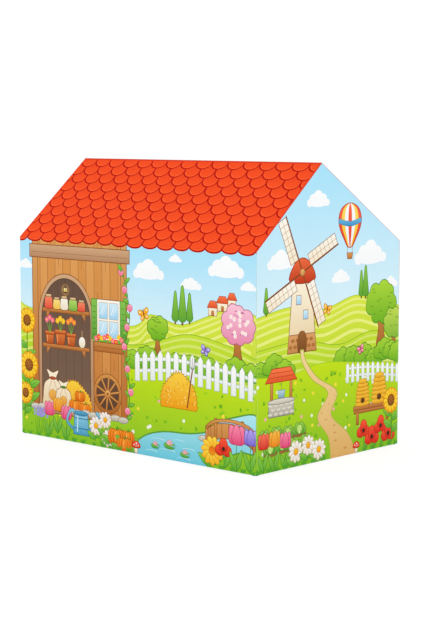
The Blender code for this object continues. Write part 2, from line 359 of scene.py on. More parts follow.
def block(u, v, wide, high, top=None):  # stands on (u, v), the middle of its foot; top is its width up there
    top = wide if top is None else top
    return [(u - wide / 2, v), (u + wide / 2, v), (u + top / 2, v + high), (u - top / 2, v + high)]


def around(u, v, r, count, start=0.0):  # places on a circle, each with its direction in degrees
    for k in range(count):
        turn = start + 360 * k / count
        c, s = heading(turn)
        yield u + r * c, v + r * s, turn


# Cloth panels

panelSettings = {
    "thickness": 0.8,       # mm, as the frame's own panels
    "gridStep": 26.0,       # mm between the points that carry the soft waves
    "waveHeight": 1.1,      # mm
    "waveFade": 55.0,       # mm in from an edge
    "reverseShare": 0.30,   # how strongly the print shows through on the inside
    "reverseHex": "#F1F2EE",
    "mapFront": 0.80,       # share of the picture map that the outside takes
    "mapMargin": 0.002,
    "rimBand": 0.014,       # share between outside and inside, for the cut edges
    "hemHeight": 0.55,      # mm, the second layer of a folded hem
    "hemEdge": 3.2,         # mm from the fold to its full height
    "hemStep": 1.4,
}


def wave(u, v, seed):  # how far the taut cloth swells outward, from 0 to 1
    return (np.sin(u / 61 + v / 97 + seed) + np.sin(u / 38 - v / 71 + 2.1 * seed) * 0.6
            + np.sin(u / 143 - v / 52 + 0.7 * seed) * 0.8) / 4.8 + 0.5


def fromPath(u, v, path):  # distance from an open path
    nearest = np.full(len(u), 1e9)
    for (au, av), (bu, bv) in zip(path, path[1:]):
        du, dv = bu - au, bv - av
        t = np.clip(((u - au) * du + (v - av) * dv) / max(du * du + dv * dv, 1e-9), 0, 1)
        nearest = np.minimum(nearest, np.hypot(u - au - t * du, v - av - t * dv))
    return nearest


def fadeFrom(u, v, rings, distance):  # 0 on the outlines, rising to 1 at a distance from them
    share = np.clip(np.min([fromPath(u, v, ring + ring[:1]) for ring in rings], axis=0) / distance, 0, 1)
    return share * share * (3 - 2 * share)


def foldLines(path, wide):  # the two edges of the step where a hem ends, on both sides of its path
    lines = []
    for by in (panelSettings["hemEdge"], wide, wide + panelSettings["hemStep"]):
        for side in (by, -by):
            lines.append([(p[0] + n[0] * side, p[1] + n[1] * side) for p, n in
                          zip(path, (sideways(path, i, False) for i in range(len(path))))])
    return lines


def covers(ring, x, y):  # which of the points lie inside a ring, even one that crosses itself
    winding = np.zeros(len(x), int)
    for (au, av), (bu, bv) in zip(ring, ring[1:] + ring[:1]):
        side = (bu - au) * (y - av) - (bv - av) * (x - au)
        winding += (av <= y) & (bv > y) & (side > 0)
        winding -= (av > y) & (bv <= y) & (side < 0)
    return winding != 0


def cutPrint(outline, holes, areas, step, folds=()):  # triangles along every printed outline, each with its top area
    corners, edges = [], []
    for ring in [outline, *holes, *(area[0] for area in areas)]:
        first, count = len(corners), len(ring)
        edges += [(first + i, first + (i + 1) % count) for i in range(count)]
        corners += ring
    for line in folds:
        edges += [(len(corners) + i, len(corners) + i + 1) for i in range(len(line) - 1)]
        corners += line
    us, vs = [p[0] for p in outline], [p[1] for p in outline]
    across, up = (max(1, int((max(w) - min(w)) / step)) for w in (us, vs))
    for i in range(1, across):
        for j in range(1, up):
            corners.append((min(us) + (max(us) - min(us)) * (i + 0.5 * (j % 2)) / across,
                            min(vs) + (max(vs) - min(vs)) * j / up))
    found = delaunay_2d_cdt([Vector(p) for p in corners], edges, [], 0, 1e-4, False)
    places, triangles = np.array([p[:] for p in found[0]], float), np.array(found[2], int)
    middle = places[triangles].mean(1)
    inside = covers(outline, *middle.T)
    for hole in holes:
        inside &= ~covers(hole, *middle.T)
    triangles, middle = triangles[inside], middle[inside]
    owners = np.full(len(triangles), -1)
    waiting = np.arange(len(triangles))
    for number in range(len(areas) - 1, -1, -1):
        ring = np.array(areas[number][0])
        low, high = ring.min(0), ring.max(0)
        x, y = middle[waiting].T
        near = waiting[(x > low[0]) & (x < high[0]) & (y > low[1]) & (y < high[1])]
        taken = near[covers(areas[number][0], *middle[near].T)]
        owners[taken] = number
        waiting = waiting[owners[waiting] < 0]
    used, triangles = np.unique(triangles, return_inverse=True)
    return places[used], triangles.reshape(-1, 3), np.maximum(owners, 0)


def clothPanel(name, plane, outline, areas, holes=(), seed=1.0, height=None, hems=(), swing=None):
    p = panelSettings
    origin, across, up = plane
    normal = np.array(across.cross(up))
    folds = [line for hem in hems for line in foldLines(*hem)]
    for number in range(2):
        places, triangles, owners = cutPrint(outline, list(holes), areas, p["gridStep"], folds)
        if number == 0:  # the second cut leaves out what the areas on top hide
            areas = [areas[i] for i in np.unique(owners)]
    # triangles must turn left as seen from outside
    a, b, c = (places[triangles[:, k]] for k in range(3))
    flipped = (b[:, 0] - a[:, 0]) * (c[:, 1] - a[:, 1]) - (b[:, 1] - a[:, 1]) * (c[:, 0] - a[:, 0]) < 0
    triangles[flipped] = triangles[flipped][:, ::-1]
    u, v = places.T
    height = p["waveHeight"] if height is None else height

    def lift(x, y):
        out = height * wave(x, y, seed) * fadeFrom(x, y, [outline, *holes], p["waveFade"])
        layer = p["hemHeight"] * fadeFrom(x, y, [outline, *holes], p["hemEdge"])
        for path, wide in hems:
            out = np.maximum(out, layer * (1 - np.clip((fromPath(x, y, path) - wide) / p["hemStep"], 0, 1)))
        return out + swing(x, y) if swing else out

    out = lift(u, v)
    tip = 1.0
    slopeU = (lift(u + tip, v) - lift(u - tip, v)) / (2 * tip)
    slopeV = (lift(u, v + tip) - lift(u, v - tip)) / (2 * tip)
    acrossArray, upArray = np.array(across), np.array(up)
    leaning = normal - slopeU[:, None] * acrossArray - slopeV[:, None] * upArray
    leaning /= np.linalg.norm(leaning, axis=1)[:, None]
    flat = np.array(origin) + (u[:, None] * acrossArray + v[:, None] * upArray) * mm
    outside = flat + out[:, None] * normal * mm
    inside = flat + (out - p["thickness"])[:, None] * normal * mm
    count = len(places)
    edges = {}
    for i, j, k in triangles:
        for edge in ((i, j), (j, k), (k, i)):
            edges[edge] = True
    rim = np.array([e for e in edges if (e[1], e[0]) not in edges], int)
    rimFaces = np.concatenate([
        np.stack([rim[:, 1], rim[:, 0], rim[:, 0] + count], 1),
        np.stack([rim[:, 1], rim[:, 0] + count, rim[:, 1] + count], 1)])
    faces = np.concatenate([triangles, triangles[:, ::-1] + count, rimFaces])
    mesh = bpy.data.meshes.new(name)
    mesh.vertices.add(2 * count)
    mesh.vertices.foreach_set("co", np.concatenate([outside, inside]).ravel())
    mesh.loops.add(3 * len(faces))
    mesh.polygons.add(len(faces))
    mesh.polygons.foreach_set("loop_start", np.arange(0, 3 * len(faces), 3))
    mesh.loops.foreach_set("vertex_index", faces.ravel())
    mesh.update(calc_edges=True)

    # Ink at each corner, from the topmost printed area
    lows, highs = (np.array([linear(area[k]) for area in areas]) for k in (1, 2))
    spans = np.array([area[3] for area in areas], float)
    level = places[triangles, 1]
    rise = np.maximum(np.ptp(spans[owners], axis=1), 1e-6)
    share = np.clip((level - spans[owners, 0][:, None]) / rise[:, None], 0, 1)
    shown = lows[owners][:, None, :] * (1 - share[..., None]) + highs[owners][:, None, :] * share[..., None]
    paper = np.array(linear(p["reverseHex"]))
    behind = paper + (shown[:, ::-1] - paper) * p["reverseShare"]
    inkAt = np.zeros((count, 3))
    inkAt[triangles.ravel()] = shown.reshape(-1, 3)
    rimInk = inkAt[rimFaces % count]
    ink = np.ones((len(faces) * 3, 4), np.float32)
    ink[:, :3] = np.concatenate([shown, behind, rimInk]).reshape(-1, 3)
    mesh.color_attributes.new("ink", "FLOAT_COLOR", "CORNER").data.foreach_set("color", ink.ravel())

    # Two maps: threads in millimetres, and one that lays out the whole piece as a picture
    corner = places[faces % count].reshape(-1, 2)
    mesh.uv_layers.new(name="millimetres").data.foreach_set("uv", corner.ravel().astype(np.float32))
    low, high = places.min(0), places.max(0)
    unit = (corner - low) / (high - low)
    back = np.repeat(np.arange(len(faces)) >= len(triangles), 3)
    edge = np.repeat(np.arange(len(faces)) >= 2 * len(triangles), 3)
    start, band, margin = p["mapFront"], p["rimBand"], p["mapMargin"]
    picture = unit * (1 - 2 * margin, start - 2 * margin) + margin
    picture[back] = unit[back] * (1 - 2 * margin, 1 - start - band - 3 * margin) + (margin, start + band)
    inner = (faces.ravel()[edge] >= count) * 2 * margin
    picture[edge] = np.stack([unit[edge].sum(1) / 2, start + 1.5 * margin + inner], 1)
    mesh.uv_layers.new(name="OFBake").data.foreach_set("uv", picture.ravel().astype(np.float32))

    towards = np.concatenate([leaning[triangles].reshape(-1, 3), -leaning[triangles[:, ::-1]].reshape(-1, 3)])
    rimPoints = np.concatenate([outside, inside])[rimFaces]
    square = np.cross(rimPoints[:, 1] - rimPoints[:, 0], rimPoints[:, 2] - rimPoints[:, 0])
    square /= np.maximum(np.linalg.norm(square, axis=1), 1e-12)[:, None]
    towards = np.concatenate([towards, np.repeat(square, 3, axis=0)])
    mesh.normals_split_custom_set(towards)
    mesh.materials.append(printedCloth)
    print(name, "has", len(faces), "faces from", len(areas), "printed areas")
    return addObject(name, mesh)


# Where the panels lie

upward = Vector((0, 0, 1))
outwards = {"front": Vector((0, -1, 0)), "rear": Vector((0, 1, 0)),
            "left": Vector((-1, 0, 0)), "right": Vector((1, 0, 0))}


def wallPlane(node, facing):
    low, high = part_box(node)
    outward = outwards[facing]
    face = Vector([(low[i], 0, high[i])[int(outward[i]) + 1] for i in range(3)])
    return face, upward.cross(outward), upward


def corners(node):
    return [vertex.co.copy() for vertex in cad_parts[node].data.vertices]


def slopePlane(node, outward):  # where a roof slope lies, and its length
    points = corners(node)
    along = upward.cross(Vector((0, outward, 0)))
    top = max(p.z for p in points)
    ridge = max((p for p in points if p.z > top - 1e-6), key=lambda p: p.z)
    edge = max(points, key=lambda p: (round(p.y * outward, 5), p.z))
    up = Vector((0, ridge.y - edge.y, ridge.z - edge.z))
    length = up.length / mm
    return (Vector((0, edge.y, edge.z)), along, up.normalized()), length


frontPlane, rearPlane = wallPlane("front_wall", "front"), wallPlane("rear_wall", "rear")
leftPlane, rightPlane = wallPlane("left_gable", "left"), wallPlane("right_gable", "right")
roofFrontPlane, roofFrontLength = slopePlane("roof_front", -1)
roofRearPlane, roofRearLength = slopePlane("roof_rear", 1)

wallLow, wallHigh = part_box("front_wall")
halfLength, hemHeight = wallHigh.x / mm, wallLow.z / mm
wallTop = wallHigh.z / mm + panelSettings["thickness"]   # up to the edge of the roof cloth
gablePoints = corners("right_gable")
peak = max(gablePoints, key=lambda p: p.z)
halfDepth = max(p.y for p in gablePoints) / mm
gableEaves = {end: max(p.z for p in gablePoints if p.y * end > halfDepth * mm - 1e-5) / mm
              for end in (1, -1)}

# Roof print: rows of round-ended tiles, the lowest row hanging a little over the eave

tiles = {
    "acrossCount": 15.6,
    "rowPitch": 41.2,
    "lowestPitch": 33.0,
    "rowShift": 0.385,      # share of a tile that each row is shifted from the one below
    "firstShift": 0.545,
    "overhang": 10.0,
    "roundness": 31.0,      # how deep the round end of a tile is
    "lowestRoundness": 14.0,
    "lean": 0.18,           # the tiles lean over to the left as they rise
    "lowestLean": 0.07,
    "line": 5.0,
    "jitter": 1.3,
    "lowHex": "#FA521E",
    "highHex": "#EE4418",
    "edgeHex": "#B60A00",
    "rimHex": "#E63E1A",
    "glintHex": "#FF6A38",
    "seed": 12,
}


def tileRows(halfWide, length, shift=0.0):
    t = tiles
    chance = random.Random(t["seed"])
    wide = 2 * halfWide / t["acrossCount"]
    rows = math.ceil((length + t["overhang"]) / t["rowPitch"]) + 1
    lowerHalf = [math.pi + math.pi * i / 14 for i in range(15)]
    fill(block(0, shift - 60, 2 * halfWide + 10, length + 65), t["edgeHex"])
    for row in range(rows):
        foot = shift - t["overhang"] + (t["lowestPitch"] + t["rowPitch"] * (row - 1) if row else 0)
        start = wide * ((t["firstShift"] + t["rowShift"] * row) % 1 - 2) - halfWide
        roundness = t["roundness"] if row else t["lowestRoundness"]
        for k in range(int(t["acrossCount"]) + 4):
            middle = start + wide * (k + 0.5) + chance.uniform(-1, 1) * t["jitter"]
            drop = foot + chance.uniform(-1, 1) * t["jitter"]
            half = wide / 2 + chance.uniform(-0.6, 0.6)
            lean = t["lean" if row else "lowestLean"] + chance.uniform(-0.03, 0.03)

            def at(across, a, inset=0.0):  # a place on the round end, or straight above it where a is None
                rise = 2.2 * t["rowPitch"] if a is None else inset + (roundness - inset) * (1 + math.sin(a))
                return middle + across - lean * (rise - roundness), drop + rise

            ring = [at(-half, None), *(at(half * math.cos(a), a) for a in lowerHalf), at(half, None)]
            fill(grow(ring, t["line"] / 2), t["edgeHex"])
            fill(grow(ring, -t["line"] / 2), t["lowHex"], t["highHex"], (drop, drop + 1.5 * t["rowPitch"]))
            glint = [at((half - 6) * math.cos(a), a, 5.5) for a in (math.radians(196 + 12 * i) for i in range(13))]
            mark(glint, t["glintHex"], 1.6)


def roofArt(length):
    tileRows(halfLength, length)
    line = tiles["line"] + 0.6
    for side in (-1, 1):
        fill(block(side * (halfLength - line / 2), 0, line, length), tiles["rimHex"])
    fill(block(0, length - line, 2 * halfLength, line), tiles["rimHex"])


def eaveTiles():  # the lowest row's round ends, printed on the top of a long wall
    first = len(art)
    tileRows(halfLength, tiles["rowPitch"], shift=wallTop)
    art[first:] = [area for area in art[first + 1:] if min(area[3][0], min(p[1] for p in area[0])) < wallTop + 3]


# Motifs of the print. Each is drawn at a place (u, v) in a size in millimetres.

leafEdge, woodEdge, clayEdge, strawEdge = "#3F8426", "#8A4B20", "#8E3A18", "#B87414"
# Fields: low, high, edge, crop rows, their ink and step, depth of the shading
farField = ("#BEDC34", "#DDE948", "#A9CB34", 6, "#EBF282", 15, 170)
midField = ("#A0CF24", "#C8E238", "#8DBB2A", 5, "#D9EA70", 17, 170)
nearField = ("#84C42A", "#C6E31A", "#A6CF22", 0, "", 0, 262)
meadowFlowers = (("#FFFFFF", 16), ("#FFE34A", 12), ("#FF9EC0", 9))   # ink and count
grassInks = ("#7DBE1E", "#6DB31C", "#93CC22")
strawInks = ("#FFE98C", "#E58F12", "#FFDF66", "#D98210")
oak = ("#B86E30", "#DDA05C", woodEdge)
pine = ("#B98A64", "#D2A880", woodEdge)
deal = ("#B06A30", "#D18B4A", woodEdge)
ash = ("#BC7434", "#DD9C56", woodEdge)
pane = ("#9FD4F2", "#D6EFFB")
gleam = "#F4FBFF"
plaster = ("#F3D9A4", "#FFF0CC", woodEdge)
rubble = ("#A9A293", "#D9D3C5", "#7D776B")
enamel = ("#4FA3CC", "#90D0EB", "#2C6F93")
tealPaint = ("#4FA39A", "#86CFC2", "#23605C")
greenPaint = ("#5E9E3A", "#86C452", leafEdge)
brass = ("#5A4030", "#6E5040", "#3E2C20")
clayTiles = ("#E2562C", "#FF7A4A", "#A32F14")
pinkTulip = ("#E8497B", "#FF8FB0", "#A8244F")
orangeTulip = ("#F08A1E", "#FFC04A", "#B4560F")
violetTulip = ("#7E6BD6", "#B9A8F5", "#4E3C9C")
redTulip = ("#D9342A", "#FF7A5C", "#9A1F10")
violetWings = ("#7E6BD6", "#C8BBFA", "#4E3C9C")
cherry = {"dots": "#FFF0F6", "low": "#E98BAE", "shown": "#FFC6DA", "edge": "#B2567C"}


def sky(top, halfWide, horizon):
    fill(block(0, -5, 2 * halfWide + 10, top + 10), "#DFF5FE", "#AAE5FD", (horizon, top))


def cloud(u, v, size, seed):
    chance = random.Random(seed)
    puffs = []
    for x, y, r in ((-0.95, 0.0, 0.30), (-0.55, 0.22, 0.40), (0.0, 0.36, 0.50), (0.52, 0.20, 0.40), (0.98, 0.0, 0.28)):
        r *= chance.uniform(0.88, 1.12)
        puffs.append(oval(u + x * size, v + y * size, r * size, steps=14))
    puffs.append(oval(u, v - 0.02 * size, 1.05 * size, 0.28 * size))
    drawMany(puffs, "#FBFDFF", "#FFFFFF")


def land(tops, low, high, edge, rows, rowInk, rowStep, deep):  # a rolling field, with its crop rows
    crest = curve(tops, 6)
    base = [(tops[-1][0], -6), (tops[0][0], -6)]
    fill([(u, v + 2.4) for u, v in crest] + base, edge)
    levels = [v for u, v in crest]
    fill(crest + base, low, high, (min(levels) - deep, max(levels)))
    for k in range(rows):
        upper = rowStep * (0.55 + k) * (1 + 0.13 * k)
        lower = upper + rowStep * (0.42 + 0.08 * k)
        narrower = 1 - 0.012 * k
        band = [(u * narrower, v - upper) for u, v in crest] + [(u * narrower, v - lower) for u, v in crest[::-1]]
        fill(band, rowInk)


def leaf(u, v, long, wide, turn, veined=False):
    shape = [(0, 0), (0.28, 0.40), (0.62, 0.36), (1.0, 0), (0.62, -0.36), (0.28, -0.40)]
    draw(blob(shape, 3, u, v, long, wide, turn), "#5FAE35", "#8FCE4B", leafEdge, 1.7)
    if veined:
        mark(placed([(0.08, 0), (0.5, 0.03), (0.85, 0)], u, v, long, wide, turn), leafEdge, 1.6, 0.7)


def tuft(u, v, high, chance, blades, ink):
    for k in range(blades):
        side = k - (blades - 1) / 2
        tall = high * chance.uniform(0.65, 1.0)
        root = u + side * high * 0.10
        tip = root + side * high * 0.20 + chance.uniform(-2, 2)
        bend = root + (tip - root) * 0.30
        fill([(root - 2.2, v), (root + 2.2, v), (bend + 1.9, v + tall * 0.55), (tip, v + tall),
              (bend - 1.9, v + tall * 0.55)], ink)


def curl(u, v, ink):  # a short bent stroke among leaves
    mark(arc(u, v, 8, 6, 17, 137, 3), ink, 1.0, 2.4)


def bush(u, v, wide, high, seed):
    chance = random.Random(seed)
    puffs = [oval(u, v + high * 0.30, wide * 0.42, high * 0.34)]
    count = max(5, int(wide / 24))
    for k in range(count):
        a = math.pi * (k + 0.5) / count
        r = high * chance.uniform(0.24, 0.32)
        puffs.append(oval(u + math.cos(a) * wide * 0.40, v + high * 0.20 + math.sin(a) * high * 0.50, r, steps=12))
    drawMany(puffs, "#6CB222", "#A9D63A", leafEdge, 2.3)
    for k in range(count):
        curl(u + chance.uniform(-0.30, 0.30) * wide, v + chance.uniform(0.18, 0.62) * high, leafEdge)


def tree(u, v, high, seed, low="#6CB222", shown="#AEDA3C", edge=leafEdge, dots=None):
    chance = random.Random(seed)
    draw(blob(mirrored((0.11, 0), (0.055, 0.30), (0.15, 0.55), (0, 0.45)), 3, u, v, high),
         "#A8672F", "#C9853F", woodEdge, 2.2)
    puffs = [oval(u, v + high * 0.66, high * 0.27)]
    for k in range(9):
        a = math.tau * k / 9 + chance.uniform(-0.15, 0.15)
        puffs.append(oval(u + math.cos(a) * high * 0.25, v + high * 0.66 + math.sin(a) * high * 0.21,
                          high * chance.uniform(0.105, 0.145), steps=13))
    drawMany(puffs, low, shown, edge, 2.4)
    for k in range(11):
        curl(u + chance.uniform(-0.25, 0.25) * high, v + (0.66 + chance.uniform(-0.20, 0.22)) * high, edge)
    for k in range(14 if dots else 0):
        a, r = math.tau * k / 14 * 2.4, (0.05 + 0.20 * math.sqrt(k / 14)) * high
        blossom(u + r * math.cos(a), v + high * 0.66 + 0.85 * r * math.sin(a), high * 0.034, dots)


def poplar(u, v, high):
    fill(block(u, v, high * 0.07, high * 0.2), woodEdge)
    rings = [oval(u, v + high * (0.24 + 0.11 * k), high * (0.150 - 0.017 * k), high * 0.15, 12) for k in range(7)]
    drawMany(rings, "#5FA534", "#93CB48", leafEdge, 2.2)


def blossom(u, v, r, ink):
    for x, y, turn in around(u, v, r * 0.62, 5, math.degrees(u)):
        fill(oval(x, y, r * 0.50, steps=8), ink)
    fill(oval(u, v, r * 0.34, steps=7), "#FFD93B")


def stem(u, v, top, bend, wide=3.4, ink="#4E9A2E"):
    path = curve([(u, v), (u + bend * 0.6, (v + top) / 2), (u + bend, top)], 5)
    mark(path, ink, wide, wide * 0.75)
    return path[-1]


def daisy(u, v, r, height, inks=("#F1E3D2", "#FFFFFF", "#C9A48A"), heart="#FFC928", count=10):
    x, y = stem(u, v, v + height, 4)
    leaf(u, v + height * 0.25, r * 1.5, r * 0.7, 35)
    leaf(u, v + height * 0.15, r * 1.4, r * 0.7, 150)
    for *place, turn in around(x, y, r * 0.62, count, 9):
        draw(oval(*place, r * 0.42, r * 0.24, 11, turn), *inks, 1.3)
    draw(oval(x, y, r * 0.30, steps=14), "#F59B1A", heart, "#B86A12", 1.3)


def sunflower(u, v, r, height, bend=6):
    x, y = stem(u, v, v + height, bend, 6.0)
    for rise, turn in ((0.18, 28), (0.30, 152), (0.50, 22), (0.62, 158)):
        leaf(u + bend * rise * 0.8, v + height * rise, r * 1.15, r * 0.62, turn, True)
    petal = [(0, 0), (0.30, 0.15), (0.46, 0), (0.30, -0.15)]
    for reach, start, *hexes in ((0.44, 0, "#F29A13", "#FFB521"), (0.36, 180 / 13, "#FFC01F", "#FFDD3C")):
        for *place, turn in around(x, y, r * reach, 13, start):
            draw(blob(petal, 3, *place, r * 1.25, turn=turn), *hexes, "#C86F10", 1.4)
    draw(oval(x, y, r * 0.42, steps=18), "#7A4318", "#A05C20", "#5A2E10", 1.6)
    for k in range(16):
        a, d = 2.4 * k, r * 0.34 * math.sqrt((k + 0.5) / 16)
        fill(oval(x + d * math.cos(a), y + d * math.sin(a), r * 0.035, steps=6), "#E3A04A")


def tulip(u, v, size, height, inks):
    x, y = stem(u, v, v + height, 3)
    leaf(u, v, height * 0.85, size * 0.42, 70)
    leaf(u, v, height * 0.75, size * 0.42, 112)
    outer = [(0.50, 0.05), (0.10, -0.02), (-0.12, 0.55), (0.42, 1.0), (0.55, 0.5)]
    for shape in ([(-a, b) for a, b in outer], outer, mirrored((0, -0.06), (0.30, 0.06), (0.30, 0.55), (0, 1.06))):
        draw(blob(shape, 3, x, y, size), *inks, 1.5)


def poppy(u, v, r, height):
    x, y = stem(u, v, v + height, -4, 2.6)
    leaf(u, v + 4, r * 1.6, r * 0.6, 60)
    for turn in (200, 340, 90):
        c, s = heading(turn)
        petal = oval(x + c * r * 0.42, y + s * r * 0.36, r * 0.62, r * 0.52, 14, turn)
        draw(petal, "#D92B1C", "#FF5A3C", "#9E1710", 1.5)
    fill(oval(x, y, r * 0.20, steps=10), "#3A2A22")


def lavender(u, v, height):
    chance = random.Random(u)
    for k in (-1, 0, 1):
        x, y = stem(u + 4 * k, v, v + height * (0.82 + 0.10 * chance.random()), 9 * k, 2.0)
        for j in range(6):
            fill(oval(x + (1.8 if j % 2 else -1.8), y - 2 + 5.2 * j, 4.2 - 0.35 * j, 3.6, 8), "#8A7BD8", "#B7ABF0")


def butterfly(u, v, size, turn, inks=("#FF9E1F", "#FFD23C", "#B4560F")):
    place = {"u": u, "v": v, "wide": size, "turn": turn}
    for side in (-1, 1):
        for shape in ([(0.05, 0.05), (0.25, 0.62), (0.85, 0.78), (0.92, 0.30), (0.45, 0.0)],
                      [(0.05, -0.02), (0.50, -0.05), (0.72, -0.35), (0.50, -0.66), (0.15, -0.42)]):
            draw(blob([(side * x, y) for x, y in shape], 3, **place), *inks, 1.6)
        for spot in placed([(side * 0.62, 0.48), (side * 0.48, -0.34)], **place):
            fill(oval(*spot, size * 0.10, steps=9), "#FFFFFF")
        mark(placed([(0, 0.35), (side * 0.10, 0.62), (side * 0.24, 0.80)], **place), "#6B3A16", 1.8, 1.2)
    fill(blob(mirrored((0, -0.55), (0.09, 0.1), (0, 0.42)), 3, **place), "#6B3A16")


def picketFence(path, high, step=34.0):
    paint = ("#FFFFFF", "#9DB3A4")
    line = np.array(curve(path, 10))
    for share in (0.34, 0.72):
        draw(stroke([(u, v + high * share) for u, v in line.tolist()], high * 0.10), "#E6EDEA", *paint, 1.4)
    runs = np.append(0, np.cumsum(np.hypot(*np.diff(line, axis=0).T)))
    for at in np.arange(0, runs[-1], step):
        u, v = (float(np.interp(at, runs, line[:, axis])) for axis in (0, 1))
        draw(placed(mirrored((0.105, 0), (0.105, 0.86), (0, 1)), u, v, high), "#E9EFEC", *paint, 1.5)


def boards(u, v, wide, high, boardWidth):  # upright boards in a frame
    gap = "#9A5C2A"
    draw(block(u, v, wide, high), "#C87E3C", "#DC9850", woodEdge, 2.8)
    count = round(wide / boardWidth)
    each = wide / count
    for k in range(count):
        middle = u - wide / 2 + each * (k + 0.5)
        if k % 2:
            fill(block(middle, v, each, high), "#D18A46", "#E2A25C")
        if k:
            fill(block(middle - each / 2, v, 1.8, high), gap)
        for share in (0.22, 0.55, 0.83):
            foot = v + high * (share + 0.05 * (k % 3))
            mark([(middle - 3, foot), (middle - 1, foot + 16), (middle - 3, foot + 34)], gap, 0.9, 2.0)


def pot(u, v, wide, high):
    draw(block(u, v, wide * 0.68, high * 0.78, wide * 0.88), "#B9501F", "#DE7A3C", clayEdge, 1.8)
    draw(block(u, v + high * 0.76, wide, high * 0.24), "#B9501F", "#EA8B4A", clayEdge, 1.8)
    mark([(u - wide * 0.26, v + high * 0.14), (u - wide * 0.31, v + high * 0.66)], "#F3A468", 3.0, 4.0)


def sack(u, v, wide, high, tie="#B5502A"):
    shape = mirrored((0.46, 0), (0.50, 0.30), (0.42, 0.62), (0.16, 0.76), (0.30, 0.97), (0, 0.90))
    draw(blob(shape, 3, u, v, wide, high), "#E9CFA2", "#FFF3D9", "#8C5A3A", 2.2)
    for side in (-1, 1):
        fold = [(side * 0.06, 0.70), (side * 0.20, 0.50), (side * 0.24, 0.25)]
        mark(placed(fold, u, v, wide, high), "#C9A070", 2.4, 1.0)
    draw(oval(u, v + high * 0.765, wide * 0.17, high * 0.035, 12), tie, tie, "#7A2F14", 1.2)
    draw(oval(u, v + high * 0.34, wide * 0.20, wide * 0.20, 14), "#E39A3C", "#F6BC5A", "#B5702A", 1.2)


def pumpkin(u, v, r):
    for x in (-0.62, 0.62, -0.34, 0.34, 0.0):
        draw(oval(u + x * r, v + r * 0.72, r * 0.46, r * 0.70, 16), "#E86A12", "#FF9A2B", "#B04A0C", 1.7)
    shine, stalk = [(-0.1, 0.35), (-0.14, 0.8), (-0.1, 1.15)], [(0, 1.30), (0.04, 1.50), (0.20, 1.66)]
    mark(placed(shine, u, v, r), "#FFC063", 2.5, 4.0)
    mark(placed(stalk, u, v, r), "#4F8A2A", r * 0.18, r * 0.13)
    tendril = placed([(0.05, 1.36), (0.45, 1.55), (0.62, 1.30), (0.80, 1.5)], u, v, r)
    mark(curve(tendril, 4), "#4F8A2A", 2.0, 1.2)


def straw(u, v, wide, high, seed):  # a heap of straw
    chance = random.Random(seed)
    count = 46
    ring = [(u - wide / 2, v), (u + wide / 2, v)]
    for k in range(count + 1):
        a = math.pi * k / count
        bump = 1 + (0.055 if k % 2 else -0.02) + chance.uniform(-0.02, 0.02) + 0.03 * math.sin(5 * a)
        ring.append((u + math.cos(a) * wide / 2 * bump, v + 2 + math.sin(a) ** 0.9 * high * bump))
    draw(ring, "#F2A015", "#FFD544", strawEdge, 2.0)
    for k in range(60):
        x, y = chance.uniform(-0.44, 0.44), chance.uniform(0.04, 0.92)
        y *= math.sqrt(max(0.02, 0.25 - x * x)) * 2
        a = math.atan2(x, 0.6) + chance.uniform(-0.5, 0.5)
        long = chance.uniform(10, 19)
        x, y = u + x * wide, v + 3 + y * high * 0.88
        du, dv = math.sin(a) * long, math.cos(a) * long * 0.6
        mark([(x, y), (x + du / 2 + 1.5, y + dv / 2), (x + du, y + dv)], chance.choice(strawInks), 2.4, 1.2)


def wheel(u, v, r):
    tone = "#C9803C"
    draw(oval(u, v, r, steps=30), "#A9662C", "#D9964C", woodEdge, 2.2)
    draw(oval(u, v, r * 0.80, steps=26), "#5D4130", "#6E4E39", woodEdge, 1.5)
    for *end, turn in around(u, v, r * 0.86, 10, math.degrees(0.2)):
        draw(stroke([(u, v), end], r * 0.10, r * 0.075), tone, "#E0A25A", woodEdge, 1.1)
    draw(oval(u, v, r * 0.20, steps=16), tone, "#EBB36C", woodEdge, 1.6)
    fill(oval(u, v, r * 0.07, steps=8), woodEdge)


def hive(u, v, wide, high):  # a straw skep on a plank
    rows = 7
    draw(block(u, v - 12, wide * 1.25, 12), *deal, 1.8)
    for k in range(rows):
        share = k / rows
        half = wide / 2 * math.sqrt(max(0.05, 1 - (share * 0.98) ** 2.2))
        band = oval(u, v + high * (share + 0.5 / rows), half, high * 0.60 / rows, 20)
        draw(band, "#E8A019", "#FFD24A", strawEdge, 1.6)
    draw(oval(u, v + high * 0.20, wide * 0.13, high * 0.10, 14), "#5A3A1C", "#6B4824", strawEdge, 1.4)


def mushroom(u, v, size):
    draw(blob(block(0, 0, 0.32, 0.55, 0.24), 3, u, v, size), "#F2E2C8", "#FFF8EA", "#A88A66", 1.5)
    cap = mirrored((0, 0.40), (0.50, 0.48), (0.40, 0.82), (0, 1))
    draw(blob(cap, 4, u, v, size), "#D93A22", "#FF5E3D", "#9A1F10", 1.7)
    for x, y, r in ((-0.24, 0.66, 0.07), (0.05, 0.80, 0.08), (0.26, 0.62, 0.06), (0.0, 0.56, 0.05)):
        fill(oval(u + x * size, v + y * size, r * size, steps=9), "#FFFFFF")


def stone(u, v, wide, high):
    shape = [(-0.5, 0.1), (-0.3, 0.42), (0.1, 0.5), (0.42, 0.34), (0.5, 0.0), (0.2, -0.3), (-0.3, -0.3)]
    draw(blob(shape, 3, u, v, wide, high), "#B9B2A2", "#E4DFD2", "#8B8576", 1.7)


def glass(u, v, wide, high, line=1.3):  # a pane with two streaks of light
    draw(block(u, v, wide, high), *pane, "#B98A5A", line)
    for shift, share in ((-0.30, 0.11), (-0.10, 0.05)):
        streak = placed([(shift, 0.12 - 0.5 * shift), (shift + 0.36, 0.66 - 0.5 * shift)], u, v, wide, high)
        mark(streak, gleam, wide * share, wide * share * 0.8)


